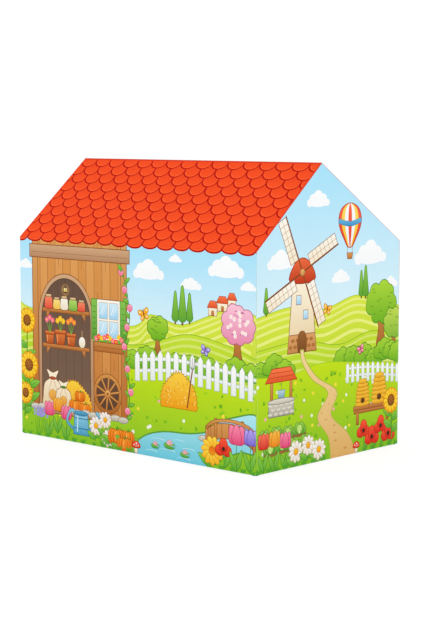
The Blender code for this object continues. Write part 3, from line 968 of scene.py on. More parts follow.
def paneWindow(u, v, wide, high, frameInks=("#FFF3DA", "#FFFBEF", woodEdge)):
    draw(block(u, v, wide, high), *frameInks, 2.4)
    across, tall = (wide - 26) / 2, (high - 26) / 2
    for side in (-1, 1):
        for row in (0, 1):
            glass(u + side * (across / 2 + 4.5), v + 9 + row * (tall + 8), across, tall)


def flowerBox(u, v, wide, seed):
    chance = random.Random(seed)
    for k in range(int(wide / 9)):
        x = u - wide / 2 + 9 * k + 5
        leaf(x, v + 24, chance.uniform(16, 26), 9, chance.uniform(50, 130))
    for k in range(int(wide / 13)):
        x = u - wide / 2 + 13 * k + 8
        blossom(x, v + 40 + chance.uniform(-6, 12), 8.5, ("#FF6F91", "#FF4A3A", "#FFC62B")[k % 3])
    draw(block(u, v, wide, 28), *deal, 2.2)
    fill(block(u, v + 13, wide - 6, 1.6), woodEdge)


def climber(path, seed):  # a climbing rose along a path
    chance = random.Random(seed)
    line = curve(path, 8)
    mark(line, "#5C8A2E", 5.0, 2.5)
    for i, (u, v) in enumerate(line[:-1]):
        if i % 2 == 0:
            long, turn = chance.uniform(20, 28), chance.choice((20, 50, 130, 160))
            leaf(u, v, long, 13, turn + chance.uniform(-15, 15))
        if i % 5 == 2:
            x, y = u + chance.uniform(-9, 9), v + chance.uniform(-4, 8)
            draw(oval(x, y, 11, steps=14), "#FF7FA3", "#FFB3C8", "#C23A66", 1.5)
            spiral = [(x + (1.5 + k) * math.cos(1.1 * k), y + (1.5 + k) * math.sin(1.1 * k)) for k in range(7)]
            mark(curve(spiral, 2), "#D44A76", 1.6, 1.2)


def wateringCan(u, v, s):
    spout = placed([(0.42, 0.20), (0.98, 0.92), (1.10, 0.84), (0.44, 0.02)], u, v, s)
    draw(spout, *enamel, 2.0)
    draw(placed([(0.88, 1.02), (1.20, 0.72), (1.26, 0.80), (0.98, 1.08)], u, v, s), *enamel, 1.6)
    handle = curve(placed([(-0.42, 0.18), (-0.86, 0.50), (-0.62, 0.98), (-0.30, 0.88)], u, v, s), 5)
    draw(stroke(handle, 0.10 * s, 0.09 * s), *enamel, 1.6)
    draw(block(u, v, 0.92 * s, 0.90 * s, 0.76 * s), *enamel, 2.2)
    draw(oval(u, v + 0.90 * s, 0.40 * s, 0.09 * s), "#3C86AD", "#5FB0D6", "#2C6F93", 1.8)
    for share in (0.24, 0.66):
        fill(block(u, v + share * s, 0.84 * s, 0.035 * s), "#2C6F93")
    mark([(u - 0.24 * s, v + 0.10 * s), (u - 0.20 * s, v + 0.80 * s)], "#D4F0FA", 5, 4)


def lantern(u, v, size):
    mark([(u, v + size), (u, v + size * 1.9)], brass[2], 2.0)
    fill(oval(u, v + size * 0.45, size * 0.95, steps=24), "#8A6A4A")
    fill(oval(u, v + size * 0.45, size * 0.70), "#A98452")
    draw(block(u, v + size * 0.12, size * 0.62, size * 0.66), "#FFD75E", "#FFF1B0", brass[2], 2.0)
    draw(block(u, v, size * 0.78, size * 0.14), *brass, 1.2)
    draw(placed([(-0.42, 0.78), (0.42, 0.78), (0, 1.08)], u, v, size), *brass, 1.4)
    fill(block(u, v + size * 0.12, 2.0, size * 0.66), brass[2])


def meadow(left, foot, right, top, seed, tufts):  # scattered grass and small flowers
    chance = random.Random(seed)
    for k in range(tufts):
        u, v = chance.uniform(left, right), chance.uniform(foot, top)
        tuft(u, v, chance.uniform(9, 17), chance, chance.choice((3, 4, 5)), chance.choice(grassInks))
    for ink, count in meadowFlowers:
        for k in range(count):
            blossom(chance.uniform(left, right), chance.uniform(foot, top), chance.uniform(4.5, 6.5), ink)


def ripple(u, v, long):
    line = placed([(-1 / 2, 0), (-1 / 6, 3), (1 / 6, 3), (1 / 2, 0)], u, v, long, 1)
    mark(curve(line, 3), "#C4EBF8", 1.2, 2.6)


def fringe(low, high, chance, bare=(0, 0)):  # grass along the foot of a wall
    for u in range(low, high, 43):
        if not bare[0] < u < bare[1]:
            tuft(u + chance.uniform(-8, 8), 0, chance.uniform(17, 29), chance, 6, "#58AA2E")


def hedge(places, v, seed, wide=86):  # bushes side by side
    for k, u in enumerate(places):
        bush(u, v + 8 * math.sin(k * 1.9), wide, 57 + 10 * (k % 2), seed + k)


def fleck(u, v):  # a thin place in the plaster
    fill(blob(mirrored((0, -0.5), (0.5, 0), (0, 0.5)), 3, u, v, 20, 9), "#E9C98E")


def lily(u, v, wide):
    draw(oval(u, v, wide, wide * 0.42, 18), "#4FA23A", "#86CC55", leafEdge, 1.6)
    fill([(u, v), (u + wide * 1.02, v + 2.5), (u + wide * 1.02, v - 3.5)], "#7CCBEA")
    for turn in (25, 60, 90, 120, 155):
        c, s = heading(turn)
        petal = oval(u + c * wide * 0.28, v + 3 + s * wide * 0.34, wide * 0.30, wide * 0.13, 10, turn)
        draw(petal, "#FF9EC0", "#FFE3EE", "#C8547F", 1.2)
    fill(oval(u, v + 5, wide * 0.12, steps=8), "#FFD93B")


# The front wall: an arched potting shed on the left, fields, a hedge and a fence on the right, a brook at its foot

shed = {
    "left": -462.0, "right": -18.0, "foot": 102.0, "boardWidth": 37.0,
    "openLeft": -418.0, "openRight": -186.0, "openStraight": 400.0, "openTop": 536.0,
    "dark": "#6A5142", "darkLow": "#7C6250",
}


def shelfGoods(centre):
    for x, across, high, low, shown in (
            (-82, 34, 44, "#E2503A", "#FF8A66"), (-42, 30, 36, "#F3C24A", "#FFE48A"),
            (-6, 32, 42, "#EFE0C2", "#FFFBEF"), (36, 34, 40, "#7DB343", "#B8DD6C"), (76, 30, 34, "#E2503A", "#FF8A66")):
        jar = mirrored((0.5, 0), (0.54, 0.5), (0.40, 0.86))
        draw(blob(jar, 3, centre + x, 436, across, high), low, shown, "#5A3A22", 1.6)
        draw(block(centre + x, 436 + high * 0.84, across * 0.74, high * 0.18), "#C9A070", "#EBCFA0", "#5A3A22", 1.3)
    for x, size, ink in ((-78, 44, "#FF6F91"), (-26, 52, "#FFC62B"), (26, 44, "#FF8A3C")):
        pot(centre + x, 318, size, size * 0.92)
        for lean in (-14, 0, 14):
            blossom(*stem(centre + x, 318 + size * 0.85, 404 if lean == 0 else 396, lean, 2.4, "#6FB53A"), 9, ink)
    fill(block(centre + 78, 318, 3, 54), "#C9A070")
    draw(oval(centre + 78, 334, 15, 18), "#EFE0C2", "#FFFBEF", "#8C5A3A", 1.6)


def pottingShed():
    s = shed
    wide, half = s["right"] - s["left"], (s["openRight"] - s["openLeft"]) / 2
    middle, centre = (s["left"] + s["right"]) / 2, (s["openRight"] + s["openLeft"]) / 2
    boards(middle, s["foot"], wide, wallTop - s["foot"], s["boardWidth"])
    for edge in (s["left"] + 12, s["right"] - 12):
        draw(block(edge, s["foot"], 24, wallTop - s["foot"]), *oak, 2.0)
    draw(block(middle, wallTop - 62, wide + 26, 40), *pine, 2.6)
    fill(block(middle, wallTop - 47, wide + 10, 1.6), "#9C714C")
    # opening
    rise = s["openTop"] - s["openStraight"]
    arch = [(s["openLeft"], s["foot"]), (s["openRight"], s["foot"])]
    arch += arc(centre, s["openStraight"], half, rise, 0, 180, 32)
    draw(grow(arch, 15), *pine, 2.6)
    draw(arch, s["darkLow"], s["dark"], "#4A3528", 2.4)
    for k in range(1, 6):
        x = 2 * half * (k / 6 - 0.5)
        fill(block(centre + x, 190, 1.8, s["openStraight"] + rise * math.sqrt(1 - (x / half) ** 2) - 192), "#5B4436")
    for v in (424, 306):
        draw(block(centre, v, 2 * half - 8, 11), *deal, 1.6)
        for side in (-1, 1):
            x = centre + side * half * 0.66
            draw([(x, v), (x + side * 16, v), (x + side * 16, v - 22)], *deal, 1.3)
    shelfGoods(centre)
    lantern(centre, 490, 22)
    straw(centre + 34, s["foot"], 168, 96, 5)
    sack(centre - 66, s["foot"], 92, 132)
    sack(centre - 14, s["foot"] - 4, 76, 104, "#4F8A2A")
    many(pumpkin, (centre + 44, 98, 30), (centre + 88, 98, 25), (centre + 66, 140, 22))
    # right part of the shed: window, flower box, wheel
    paneWindow(-100, 352, 104, 128)
    for x in (-166, -34):
        draw(block(x, 352, 24, 128), *greenPaint, 2.0)
        for k in range(6):
            fill(block(x, 366 + 18 * k, 14, 2.2), leafEdge)
    flowerBox(-100, 314, 132, 8)
    wheel(-106, 178, 64)
    for k in range(13):
        stone(s["left"] + 8 + k * (wide - 4) / 12.6, s["foot"] - 3 + 3 * (k % 2), 44, 22)
    climber([(-16, 108), (-6, 210), (-26, 320), (-4, 430), (-18, 520), (-40, 590)], 4)


def farmhouse(u, v, wide):
    draw(block(u, v, wide, 26), "#F6E2B8", "#FFF6DF", woodEdge, 1.5)
    draw(block(u, v + 24, wide * 1.28, 20, wide * 0.6), *clayTiles, 1.5)
    draw(block(u, v, 9, 14), *deal, 1.0)


def footBridge(u, v):
    foot = arc(u, v, 96, 34, 180, 8, 10)
    draw(foot + [(x, y + 44) for x, y in foot[::-1]], *ash, 2.4)
    for x, y in foot[1:-1]:
        mark([(x, y), (x, y + 44)], woodEdge, 1.8)
    for k in (0, 3, 7, 10):
        draw(block(foot[k][0], foot[k][1] - 4, 9, 66), *ash, 1.7)
    draw(stroke([(x, y + 54) for x, y in foot], 8), *ash, 1.7)


def frontArt():
    sky(wallTop, halfLength, 380)
    many(cloud, (80, 574, 54, 1), (262, 548, 34, 2), (404, 600, 58, 3), (196, 624, 22, 4), (494, 556, 24, 5),
         (-496, 570, 28, 6))
    land([(-530, 450), (-440, 425), (-20, 402), (90, 448), (215, 426), (330, 460), (440, 496), (530, 474)], *farField)
    many(poplar, (196, 428, 96), (226, 426, 116), (256, 432, 90))
    many(farmhouse, (352, 466, 34), (392, 482, 40), (430, 494, 30))
    land([(-530, 345), (-400, 360), (-20, 345), (110, 367), (250, 399), (400, 381), (530, 345)], *midField)
    tree(452, 322, 186, 3, **cherry)
    tree(120, 330, 120, 9)
    hedge(range(10, 540, 62), 276, 20, 92)
    land([(-530, 262), (-300, 250), (0, 268), (180, 282), (360, 272), (530, 252)], *nearField)
    picketFence([(30, 236), (180, 250), (360, 240), (530, 220)], 92)
    meadow(-520, 20, 520, 232, 3, 90)
    # brook
    bank = [(530, 176), (440, 164), (372, 140), (330, 108), (250, 92), (150, 86), (70, 66), (16, 30), (-10, -8),
            (300, -8), (330, 24), (400, 44), (470, 66), (530, 74)]
    draw(smooth(bank, 5), "#6CCBE2", "#B0EAF4", "#5E9E3A", 5.0)
    many(ripple, (120, 60, 60), (210, 66, 50), (160, 30, 70), (250, 44, 54), (330, 70, 46), (420, 92, 60),
         (480, 130, 50), (400, 120, 44), (90, 20, 50), (230, 12, 60), (500, 100, 40))
    many(stone, (352, 52, 44, 22), (312, 86, 38, 19), (368, 106, 34, 17))
    many(lily, (170, 46, 24), (236, 26, 20), (108, 38, 18))
    footBridge(424, 66)
    # haystack in the meadow, with a fork
    straw(210, 168, 150, 104, 6)
    mark([(246, 172), (262, 262), (268, 292)], woodEdge, 5.0)
    for k in (-2, -1, 0, 1, 2):
        mark([(268, 290), (268 + 7 * k, 306), (268 + 8 * k, 330)], "#8C8C86", 2.6, 1.6)
    pottingShed()
    # foreground flowers, from left to right
    many(sunflower, (-498, 150, 42, 236, 4), (-480, 96, 46, 140, -6), (-510, 60, 36, 80, 5))
    many(lavender, (-446, 16, 66), (-428, 16, 66), (-410, 16, 66))
    many(tulip, (-388, 8, 43, 72, pinkTulip), (-346, 22, 41, 76, orangeTulip), (-306, 6, 43, 68, pinkTulip))
    wateringCan(-232, 30, 78)
    many(daisy, (-166, 18, 30, 50), (-122, 34, 26, 58), (-108, 4, 28, 30))
    for u, v, r in ((-66, 18, 36), (-16, 28, 28), (-30, 0, 31)):
        many(leaf, (u - r * 0.8, v + 2, r * 1.3, r * 0.8, 150, True), (u + r * 0.6, v + 4, r * 1.3, r * 0.8, 25, True))
        pumpkin(u, v, r)
    mushroom(22, 6, 36)
    daisy(346, 2, 44, 52, ("#FFB020", "#FFE04A", "#C77A12"), "#F06A1E", 11)
    poppy(400, 6, 33, 60)
    many(tulip, (446, 4, 56, 84, pinkTulip), (502, 8, 44, 84, violetTulip))
    fringe(-520, 530, random.Random(41), (0, 330))
    butterfly(60, 446, 24, 18)
    butterfly(320, 356, 19, -20, violetWings)
    eaveTiles()


# The right gable: a windmill among fields, a path, a well and beehives


def windmill(u, v, high):
    draw(block(u, v, high * 0.40, high * 0.66, high * 0.26), "#EBCF9E", "#FFF6DF", woodEdge, 2.6)
    draw(block(u, v, high * 0.41, high * 0.16, high * 0.37), "#C98A50", "#DDA468", woodEdge, 2.0)
    for row, count in ((0.05, 6), (0.11, 5)):
        for k in range(count):
            x = (k - (count - 1) / 2) * 0.066
            fill(oval(u + x * high, v + row * high, high * 0.026, high * 0.018, 10), "#B2713A")
    door = mirrored((0.055, 0), (0.055, 0.15), (0, 0.19))
    draw(blob(door, 2, u, v, high), "#7A4A22", "#9A6232", woodEdge, 1.8)
    for x, y in ((0.05, 0.30), (-0.05, 0.44)):
        draw(block(u + x * high, v + y * high, high * 0.062, high * 0.08), *pane, woodEdge, 1.6)
    cap = mirrored((0.17, 0.65), (0.12, 0.80), (0, 0.86))
    draw(blob(cap, 4, u, v, high), "#C23A1C", "#EE6A3E", "#8E2410", 2.4)
    for turn in (24, 114, 204, 294):
        sail = {"u": u, "v": v + high * 0.73, "wide": high * 0.56, "turn": turn}
        draw(placed(block(0.62, 0.02, 0.76, 0.19), **sail), "#F8EBD0", "#FFFBF0", woodEdge, 1.9)
        for x in (0.24 + 0.76 * j / 7 for j in range(1, 7)):
            mark(placed([(x, 0.02), (x, 0.21)], **sail), "#B98A5A", 1.5)
        mark(placed([(0.24, 0.115), (1.0, 0.115)], **sail), "#B98A5A", 1.5)
        mark(placed([(0, 0), (1.03, 0)], **sail), woodEdge, 5.0, 3.6)
    draw(oval(u, v + high * 0.73, high * 0.032), "#C98A50", "#EBB36C", woodEdge, 1.8)


def balloon(u, v, size):
    profile = mirrored((0.10, -0.66), (0.27, -0.44), (0.47, -0.12), (0.52, 0.18), (0.38, 0.46), (0, 0.60))
    for x in (-1, 1):
        mark(placed([(x * 0.11, -0.88), (x * 0.13, -0.60)], u, v, size), woodEdge, 1.5)
    draw(block(u, v - size * 1.02, size * 0.20, size * 0.16, size * 0.26), *ash, 1.8)
    draw(blob(profile, 4, u, v, size), "#E23A2A", "#FF6A4A", "#A3200F", 2.4)
    for share, low, high in ((0.76, "#FFC21F", "#FFE066"), (0.47, "#EFF6FA", "#FFFFFF"), (0.16, "#E23A2A", "#FF6A4A")):
        fill(blob([(x * share, y) for x, y in profile], 4, u, v, size), low, high)
    belt = curve(placed([(-0.515, 0.10), (-0.26, 0.03), (0.0, 0.0), (0.26, 0.03), (0.515, 0.10)], u, v, size), 4)
    draw(stroke(belt, 0.13 * size), "#3C93C8", "#74BFE6", "#2C6F93", 1.2)


def well(u, v, size):
    for side in (-1, 1):
        draw(block(u + side * size * 0.36, v + size * 0.3, size * 0.08, size * 0.60), *ash, 1.8)
    mark([(u, v + size * 0.92), (u, v + size * 0.60)], "#8C6A44", 2.0)
    draw(block(u, v + size * 0.44, size * 0.20, size * 0.18, size * 0.26), "#7FA7B8", "#B8D6E2", "#4E7284", 1.6)
    draw(block(u, v + size * 0.84, size * 1.16, size * 0.32, size * 0.68), *clayTiles, 2.2)
    for share in (0.33, 0.66):
        fill(block(u, v + size * (0.84 + 0.32 * share), size * (1.10 - 0.48 * share), 1.8), "#B5401C")
    draw(block(u, v, size * 0.92, size * 0.36), *rubble, 2.2)
    for row in range(3):
        for k in range(5):
            x = (k - 2 + 0.5 * (row % 2)) * size * 0.20
            if abs(x) < size * 0.42:
                fill(oval(u + x, v + size * (0.07 + 0.11 * row), size * 0.085, size * 0.042, 12), "#EAE5D9", "#C2BCAE")
    draw(oval(u, v + size * 0.36, size * 0.50, size * 0.06), "#C6BFB0", "#E8E2D5", "#7D776B", 1.8)


def lane(spine):  # (u, v, width) from near to far
    line = curve([(u, v) for u, v, w in spine], 6)
    widths = [w for w, z in curve([(w, 0) for u, v, w in spine], 6)]
    ring = [(u - w / 2, v) for (u, v), w in zip(line, widths)]
    ring += [(u + w / 2, v) for (u, v), w in zip(line[::-1], widths[::-1])]
    draw(ring, "#E3B36A", "#F6D79C", "#A9B83C", 3.0)
    for i, ((u, v), w) in enumerate(zip(line, widths)):
        if i % 2 and w > 12:
            fill(oval(u + w * 0.24 * math.sin(i * 2.3), v, w * 0.07, w * 0.03, 10), "#D09A50")


def rainbow(u, v, r, wide):
    for k, ink in enumerate(("#F4604C", "#FBA03A", "#FFE04A", "#86D05A", "#62B8EC", "#A98BE0")):
        mark(arc(u, v, r - k * wide, r - k * wide, 0, 180, 40), ink, wide + 0.6)


def kite(u, v, size, turn):
    place = {"u": u, "v": v, "wide": size, "turn": turn}
    line = curve(placed([(0, -0.6), (0.18, -1.0), (-0.10, -1.4), (0.16, -1.85), (-0.04, -2.3)], **place), 6)
    mark(line, "#7A5A3A", 2.0)
    for (x, y), ink in zip(line[4::6], ("#FFC62B", "#4FA3CC", "#E8497B", "#7DB343")):
        for side in (-11, 11):
            draw([(x, y), (x + side, y + 6), (x + side, y - 6)], ink, ink, "#7A5A3A", 1.0)
    tips = [(0, 0.55), (0.42, 0.08), (0, -0.62), (-0.42, 0.08)]
    draw(placed(tips, **place), "#E23A2A", "#E23A2A", "#8E2410", 2.4)
    for a, b, ink in ((0, 1, "#FFC62B"), (1, 2, "#E8497B"), (2, 3, "#4FA3CC"), (3, 0, "#7DB343")):
        fill(placed([tips[a], tips[b], (0, 0.08)], **place), ink)
    for spar in ((tips[0], tips[2]), (tips[3], tips[1])):
        mark(placed(spar, **place), "#8E2410", 2.4)


def lettuce(u, v, size):  # on its mound of soil
    fill(oval(u, v - 2, size * 0.62, size * 0.16, 16), "#9A6A3A")
    for x, y, ru, rv in ((-0.34, 0.22, 0.26, 0.24), (0.34, 0.22, 0.26, 0.24),
                         (-0.18, 0.36, 0.24, 0.30), (0.18, 0.36, 0.24, 0.30), (0, 0.26, 0.25, 0.27)):
        inks = ("#5FA534", "#9BD050") if x else ("#8FCB48", "#C8EA78")
        draw(oval(u + x * size, v + y * size, ru * size, rv * size, 14), *inks, leafEdge, 1.6)
    for x in (-0.12, 0, 0.12):
        mark([(u + 0.2 * x * size, v + 0.04 * size), (u + x * size, v + 0.40 * size)], "#E4F5B0", 2.0, 1.0)


def gableArt():
    sky(peak.z / mm, halfDepth, 430)
    many(cloud, (-240, 622, 50, 11), (196, 618, 66, 12), (-66, 800, 44, 13), (46, 560, 36, 14), (302, 528, 30, 15))
    balloon(90, 730, 106)
    land([(-360, 466), (-200, 490), (-40, 472), (120, 504), (240, 480), (360, 452)], *farField)
    many(poplar, (150, 492, 84), (172, 490, 100), (-306, 472, 80))
    land([(-360, 368), (-150, 384), (40, 356), (200, 384), (360, 358)], *midField)
    windmill(-140, 352, 330)
    tree(254, 330, 214, 21)
    tree(322, 306, 150, 22, low="#83B93A", shown="#C3DD55")
    hedge((-330, -270, -222, 60, 112, 168, 224, 272, 312, 346), 284, 60)
    land([(-360, 292), (-200, 284), (-40, 306), (160, 288), (360, 268)], *nearField)
    meadow(-345, 30, 345, 268, 7, 80)
    lane([(70, -8, 132), (40, 70, 96), (-30, 140, 66), (10, 210, 42), (-76, 262, 27), (-128, 318, 17), (-140, 356, 12)])
    well(-236, 168, 124)
    picketFence([(84, 232), (200, 226), (350, 206)], 62, 26.0)
    # beehives on a bench
    draw(block(214, 128, 190, 10), *deal, 2.0)
    for x in (136, 292):
        draw(block(x, 92, 11, 38), *deal, 1.8)
    many(hive, (162, 150, 74, 84), (248, 150, 84, 96))
    for u, v in ((-312, 98), (-284, 58)):
        many(lettuce, *((u + 54 * k, v + 4 * (k % 2), 53) for k in range(4)))
    many(tulip, (-318, 6, 44, 72, redTulip), (-268, 0, 44, 80, orangeTulip), (-218, 4, 44, 66, pinkTulip))
    many(daisy, (-170, 0, 33, 48), (-112, 10, 30, 50), (-60, 0, 32, 40))
    many(poppy, (172, 6, 34, 64), (216, 0, 36, 44), (262, 12, 34, 62), (302, 0, 36, 44))
    sunflower(318, 26, 42, 124, -6)
    mushroom(132, 6, 32)
    fringe(-340, 350, random.Random(17), (-20, 140))
    butterfly(-20, 470, 20, -16)
    butterfly(150, 330, 17, 22, ("#E8497B", "#FFB3C8", "#A8244F"))


# The rear wall: a cottage front whose double door is printed on the two door flaps

doorway = {
    "half": 230.0, "top": 560.0, "corner": 60.0, "post": 26.0, "boardWidth": 46.0,
}


def doorwayRing(by=0.0, foot=-6.0):
    d = doorway
    r, u, v = d["corner"] + by, d["half"] - d["corner"], d["top"] - d["corner"]
    return [(-d["half"] - by, foot), (d["half"] + by, foot),
            *arc(u, v, r, r, 0, 90, 12), *arc(-u, v, r, r, 90, 180, 12)]


def doorLeaf(side):
    d = doorway
    inner, outer = side * 14, side * (d["half"] - 14)
    centre = (inner + outer) / 2
    draw(stroke([(outer, 84), (inner, 268)], 34), *tealPaint, 2.0)
    for v in (60, 250, 496):
        draw(block(centre, v, abs(outer - inner), 34), *tealPaint, 2.0)
        for x in (inner * 1.9, centre, outer - side * 14):
            fill(oval(x, v + 17, 4.2, steps=10), "#2B5652")
    paneWindow(centre, 330, 124, 128, ("#E9F3EE", "#FFFFFF", "#23605C"))
    for v in (77, 513):
        hinge = [(0, -7), (-96, -5), (-108, 0), (-96, 5), (0, 7)]
        fill([(outer + side * x, v + y) for x, y in hinge], "#3A3F44")
    draw(oval(side * 30, 226, 9), "#E8A62C", "#FFD86A", "#8C5A14", 1.8)


def rearArt():
    d = doorway
    chance = random.Random(23)
    sky(wallTop, halfLength, 380)
    many(cloud, (-430, 590, 36, 31), (420, 560, 46, 32), (-360, 500, 26, 33), (486, 480, 22, 34))
    land([(-530, 410), (-420, 440), (-280, 400), (280, 410), (400, 446), (530, 402)], *farField)
    many(poplar, (-492, 420, 96), (-468, 426, 116), (392, 440, 90))
    land([(-530, 336), (-400, 352), (-260, 330), (260, 336), (420, 366), (530, 340)], *midField)
    tree(-410, 320, 178, 35, dots="#F2553C")
    tree(470, 318, 160, 36)
    hedge([*range(-520, -250, 58), *range(270, 530, 58)], 262, 80)
    land([(-530, 268), (-260, 262), (260, 262), (530, 270)], *nearField)
    for side in (-1, 1):
        picketFence([(side * 530, 200), (side * 404, 212), (side * 274, 206)][::side], 84, 32.0)
    meadow(-520, 24, 520, 210, 13, 90)
    # plastered wall with the door in it
    draw(block(0, -6, 560, 680), *plaster, 3.0)
    for k in range(14):
        fleck(chance.choice((-1, 1)) * chance.uniform(238, 262), 60 + 40 * k)
    for side in (-1, 1):
        for k in range(15):
            wide = 34 if k % 2 else 24
            draw(block(side * (280 - wide / 2), -6 + 41 * k, wide, 38), "#C9825A", "#E0A07A", "#A35E3C", 1.6)
    draw(block(0, 612, 600, 30), *pine, 2.4)
    draw(doorwayRing(d["post"]), *oak, 2.6)
    draw(doorwayRing(), "#3F8C86", "#5FB5A8", "#23605C", 3.0)
    step = 2 * d["half"] / 10
    for k in range(1, 10):
        seam = -d["half"] + step * k
        if k % 2 and k < 9:
            fill(block(seam + step / 2, -6, step, d["top"] + 6), "#459690", "#6BC0B3")
        fill(block(seam, -6, 2, d["top"] + 6), "#2F7470")
    many(doorLeaf, (-1,), (1,))
    fill(block(0, -6, 3.2, d["top"] + 6), "#23605C")
    for side in (-1, 1):  # climbing roses beside the door
        vine = [(276, 30), (262, 150), (282, 280), (264, 410), (280, 520), (250, 590), (170, 604)]
        climber([(side * u, v) for u, v in vine], 44 + side)
    many(sunflower, (-492, 40, 34, 180, 5), (-452, 20, 32, 120, 5), (496, 44, 34, 170, 5))
    many(lavender, (-404, 20, 66), (-380, 26, 66), (372, 22, 66), (396, 16, 66))
    many(tulip, (-350, 8, 34, 62, pinkTulip), (-314, 0, 34, 66, orangeTulip), (334, 6, 34, 60, pinkTulip),
         (438, 0, 34, 58, violetTulip))
    pumpkin(300, 6, 26)
    fringe(-520, -280, chance)
    fringe(300, 530, chance)
    butterfly(-340, 440, 21, 14, violetWings)
    butterfly(340, 470, 22, -18)
    eaveTiles()


# The left gable: a small cottage round the window, a rainbow and a kite

windowFlap = {"half": 150.0, "low": 350.0, "high": 570.0, "overlap": 20.0}


def windowRing(by=0.0):  # the flap's outline, moved outwards by so many millimetres
    low, high, half = (windowFlap[key] for key in ("low", "high", "half"))
    return block(0, low - by, 2 * (half + by), high - low + 2 * by)


def cottage():
    draw(block(0, 120, 432, 500), *plaster, 3.0)
    chance = random.Random(29)
    for k in range(18):
        fleck(chance.uniform(-200, 200), chance.choice((chance.uniform(180, 330), chance.uniform(588, 606))))
    for row, shift in enumerate((0, 18, 0)):  # rubble foot
        for k in range(12 + row % 2):
            left, right = max(-216, 36 * k - 216 - shift), min(216, 36 * k - 180 - shift)
            draw(block((left + right) / 2, 118 + 19 * row, right - left - 3, 17), *rubble, 1.8)
    for row in range(5):  # its roof
        level = 612 + 24 * row
        for k in range(-6, 7):
            x = 40 * k + 20 * (row % 2)
            if abs(x) < 262 - 52 * row:
                ring = [(x - 20, level + 34), (x + 20, level + 34)] + arc(x, level + 18, 20, -18, 0, 180, 8)
                draw([(u, min(v, 596 + (288 - abs(u)) * 0.507)) for u, v in ring], "#FF7A3C", "#E2501F", "#A32F14", 1.8)
    draw(stroke([(-290, 598), (0, 745), (290, 598)], 18), *oak, 2.2)
    # window surround, shutters and flower box
    low, high = windowFlap["low"], windowFlap["high"]
    draw(windowRing(16), *oak, 2.4)
    fill(windowRing(-windowFlap["overlap"]), "#8A5A2C")
    for x in (-190, 190):
        draw(block(x, low - 10, 38, high - low + 20), *greenPaint, 2.0)
        for k in range(10):
            fill(block(x, low + 8 + 20 * k, 26, 2.4), leafEdge)
    flowerBox(0, 292, 330, 61)


def leftGableArt():
    sky(peak.z / mm, halfDepth, 430)
    rainbow(120, 420, 330, 11)
    many(cloud, (-214, 640, 32, 41), (262, 560, 30, 42), (70, 800, 24, 43))
    kite(-58, 806, 50, -28)
    land([(-360, 424), (-220, 452), (-60, 436), (120, 452), (260, 470), (360, 440)], *farField)
    land([(-360, 346), (-180, 372), (0, 352), (200, 366), (360, 340)], *midField)
    tree(-290, 316, 168, 52, dots="#F2553C")
    tree(300, 310, 172, 53, **cherry)
    hedge((-340, -286, -236, 236, 290, 342), 270, 100)
    land([(-360, 276), (-120, 284), (120, 284), (360, 270)], *nearField)
    meadow(-345, 30, 345, 250, 17, 80)
    cottage()
    many(sunflower, (-320, 30, 34, 150, 5), (-284, 10, 32, 96, 5), (318, 36, 34, 150, 5))
    many(tulip, (-240, 14, 34, 62, pinkTulip), (-204, 4, 34, 66, orangeTulip), (226, 10, 34, 60, pinkTulip),
         (262, 2, 34, 58, violetTulip))
    many(lettuce, *((56 * k - 140, 64 - 4 * (k % 2), 50) for k in range(6)))
    many(daisy, *((57 * k - 171, 5 * (k % 2), 18, 29) for k in range(7)))
    fringe(-340, 350, random.Random(30))
    butterfly(250, 500, 20, -14)


def windowFlapArt():
    fill(windowRing(5), "#FFF3DA", "#FFFBEF")
    for x in (-1, 1):
        for y in (0, 1):
            u, v = x * 71, windowFlap["low"] + 16 + 97 * y
            glass(u, v, 122, 88, line=2.0)
            if y:  # curtain
                hem = curve([(u - x * 44, v + 88), (u - x * 2, v + 70), (u + x * 26, v + 42), (u + x * 36, v)], 6)
                draw([(u + x * 61, v), (u + x * 61, v + 88)] + hem, "#F2708E", "#FFA9BD", "#C8547F", 1.6)
                for k in range(3):
                    fill(oval(u + x * (48 - 8 * k), v + 24 + 22 * k, 4.5, steps=9), "#FFFFFF")


wallOutline = block(0, hemHeight, 2 * halfLength, wallTop - hemHeight)


def gableOutline(side):  # side is 1 where u runs along +Y
    ring = [(-halfDepth, hemHeight), (halfDepth, hemHeight), (halfDepth, gableEaves[1]),
            (peak.y / mm, peak.z / mm), (-halfDepth, gableEaves[-1])]
    return [(side * u, v) for u, v in ring]


def notched():  # the rear wall's outline runs round the doorway
    ring = doorwayRing(0.0, hemHeight)
    return [*wallOutline[1:], wallOutline[0], ring[0], *ring[:1:-1], ring[1]]


def flapOutline(side):  # side is 1 for the flap to the right as seen from behind the tent
    gap = 0.25
    ring = [(abs(u), v) for u, v in doorwayRing(-gap, hemHeight) if u > 0]
    return [(side * u, v) for u, v in [(gap, hemHeight)] + ring + [(gap, doorway["top"] - gap)]]


def doorwayPath(by=0.0, foot=0.0):  # up one side of the doorway, over its top and down the other
    ring = doorwayRing(by, hemHeight + foot)
    return ring[1:] + ring[:1]


# Sewing: running stitches, piping, tapes and the net

sewing = {
    "pitch": 6.5,           # mm from stitch to stitch
    "stitch": 4.6,          # mm, length of a stitch
    "thread": 0.8,          # mm, drawn thicker than real thread so that it shows
    "depth": 1.5,           # mm, through both faces of the cloth
    "hemIn": 13.0,          # mm from the bottom edge
    "seamIn": 6.0,          # mm from a sewn edge
    "ply": 1.1,             # mm along a ply of the thread
    "pipingRadius": 1.1,
    "wallHem": 16.0,        # mm, width of the second layer
    "sideHem": 9.0,         # along a roof's rakes and round the window flap
    "doorHem": 14.0,
    "doorRows": (4.0, 11.5),   # mm out from the doorway's edge
}


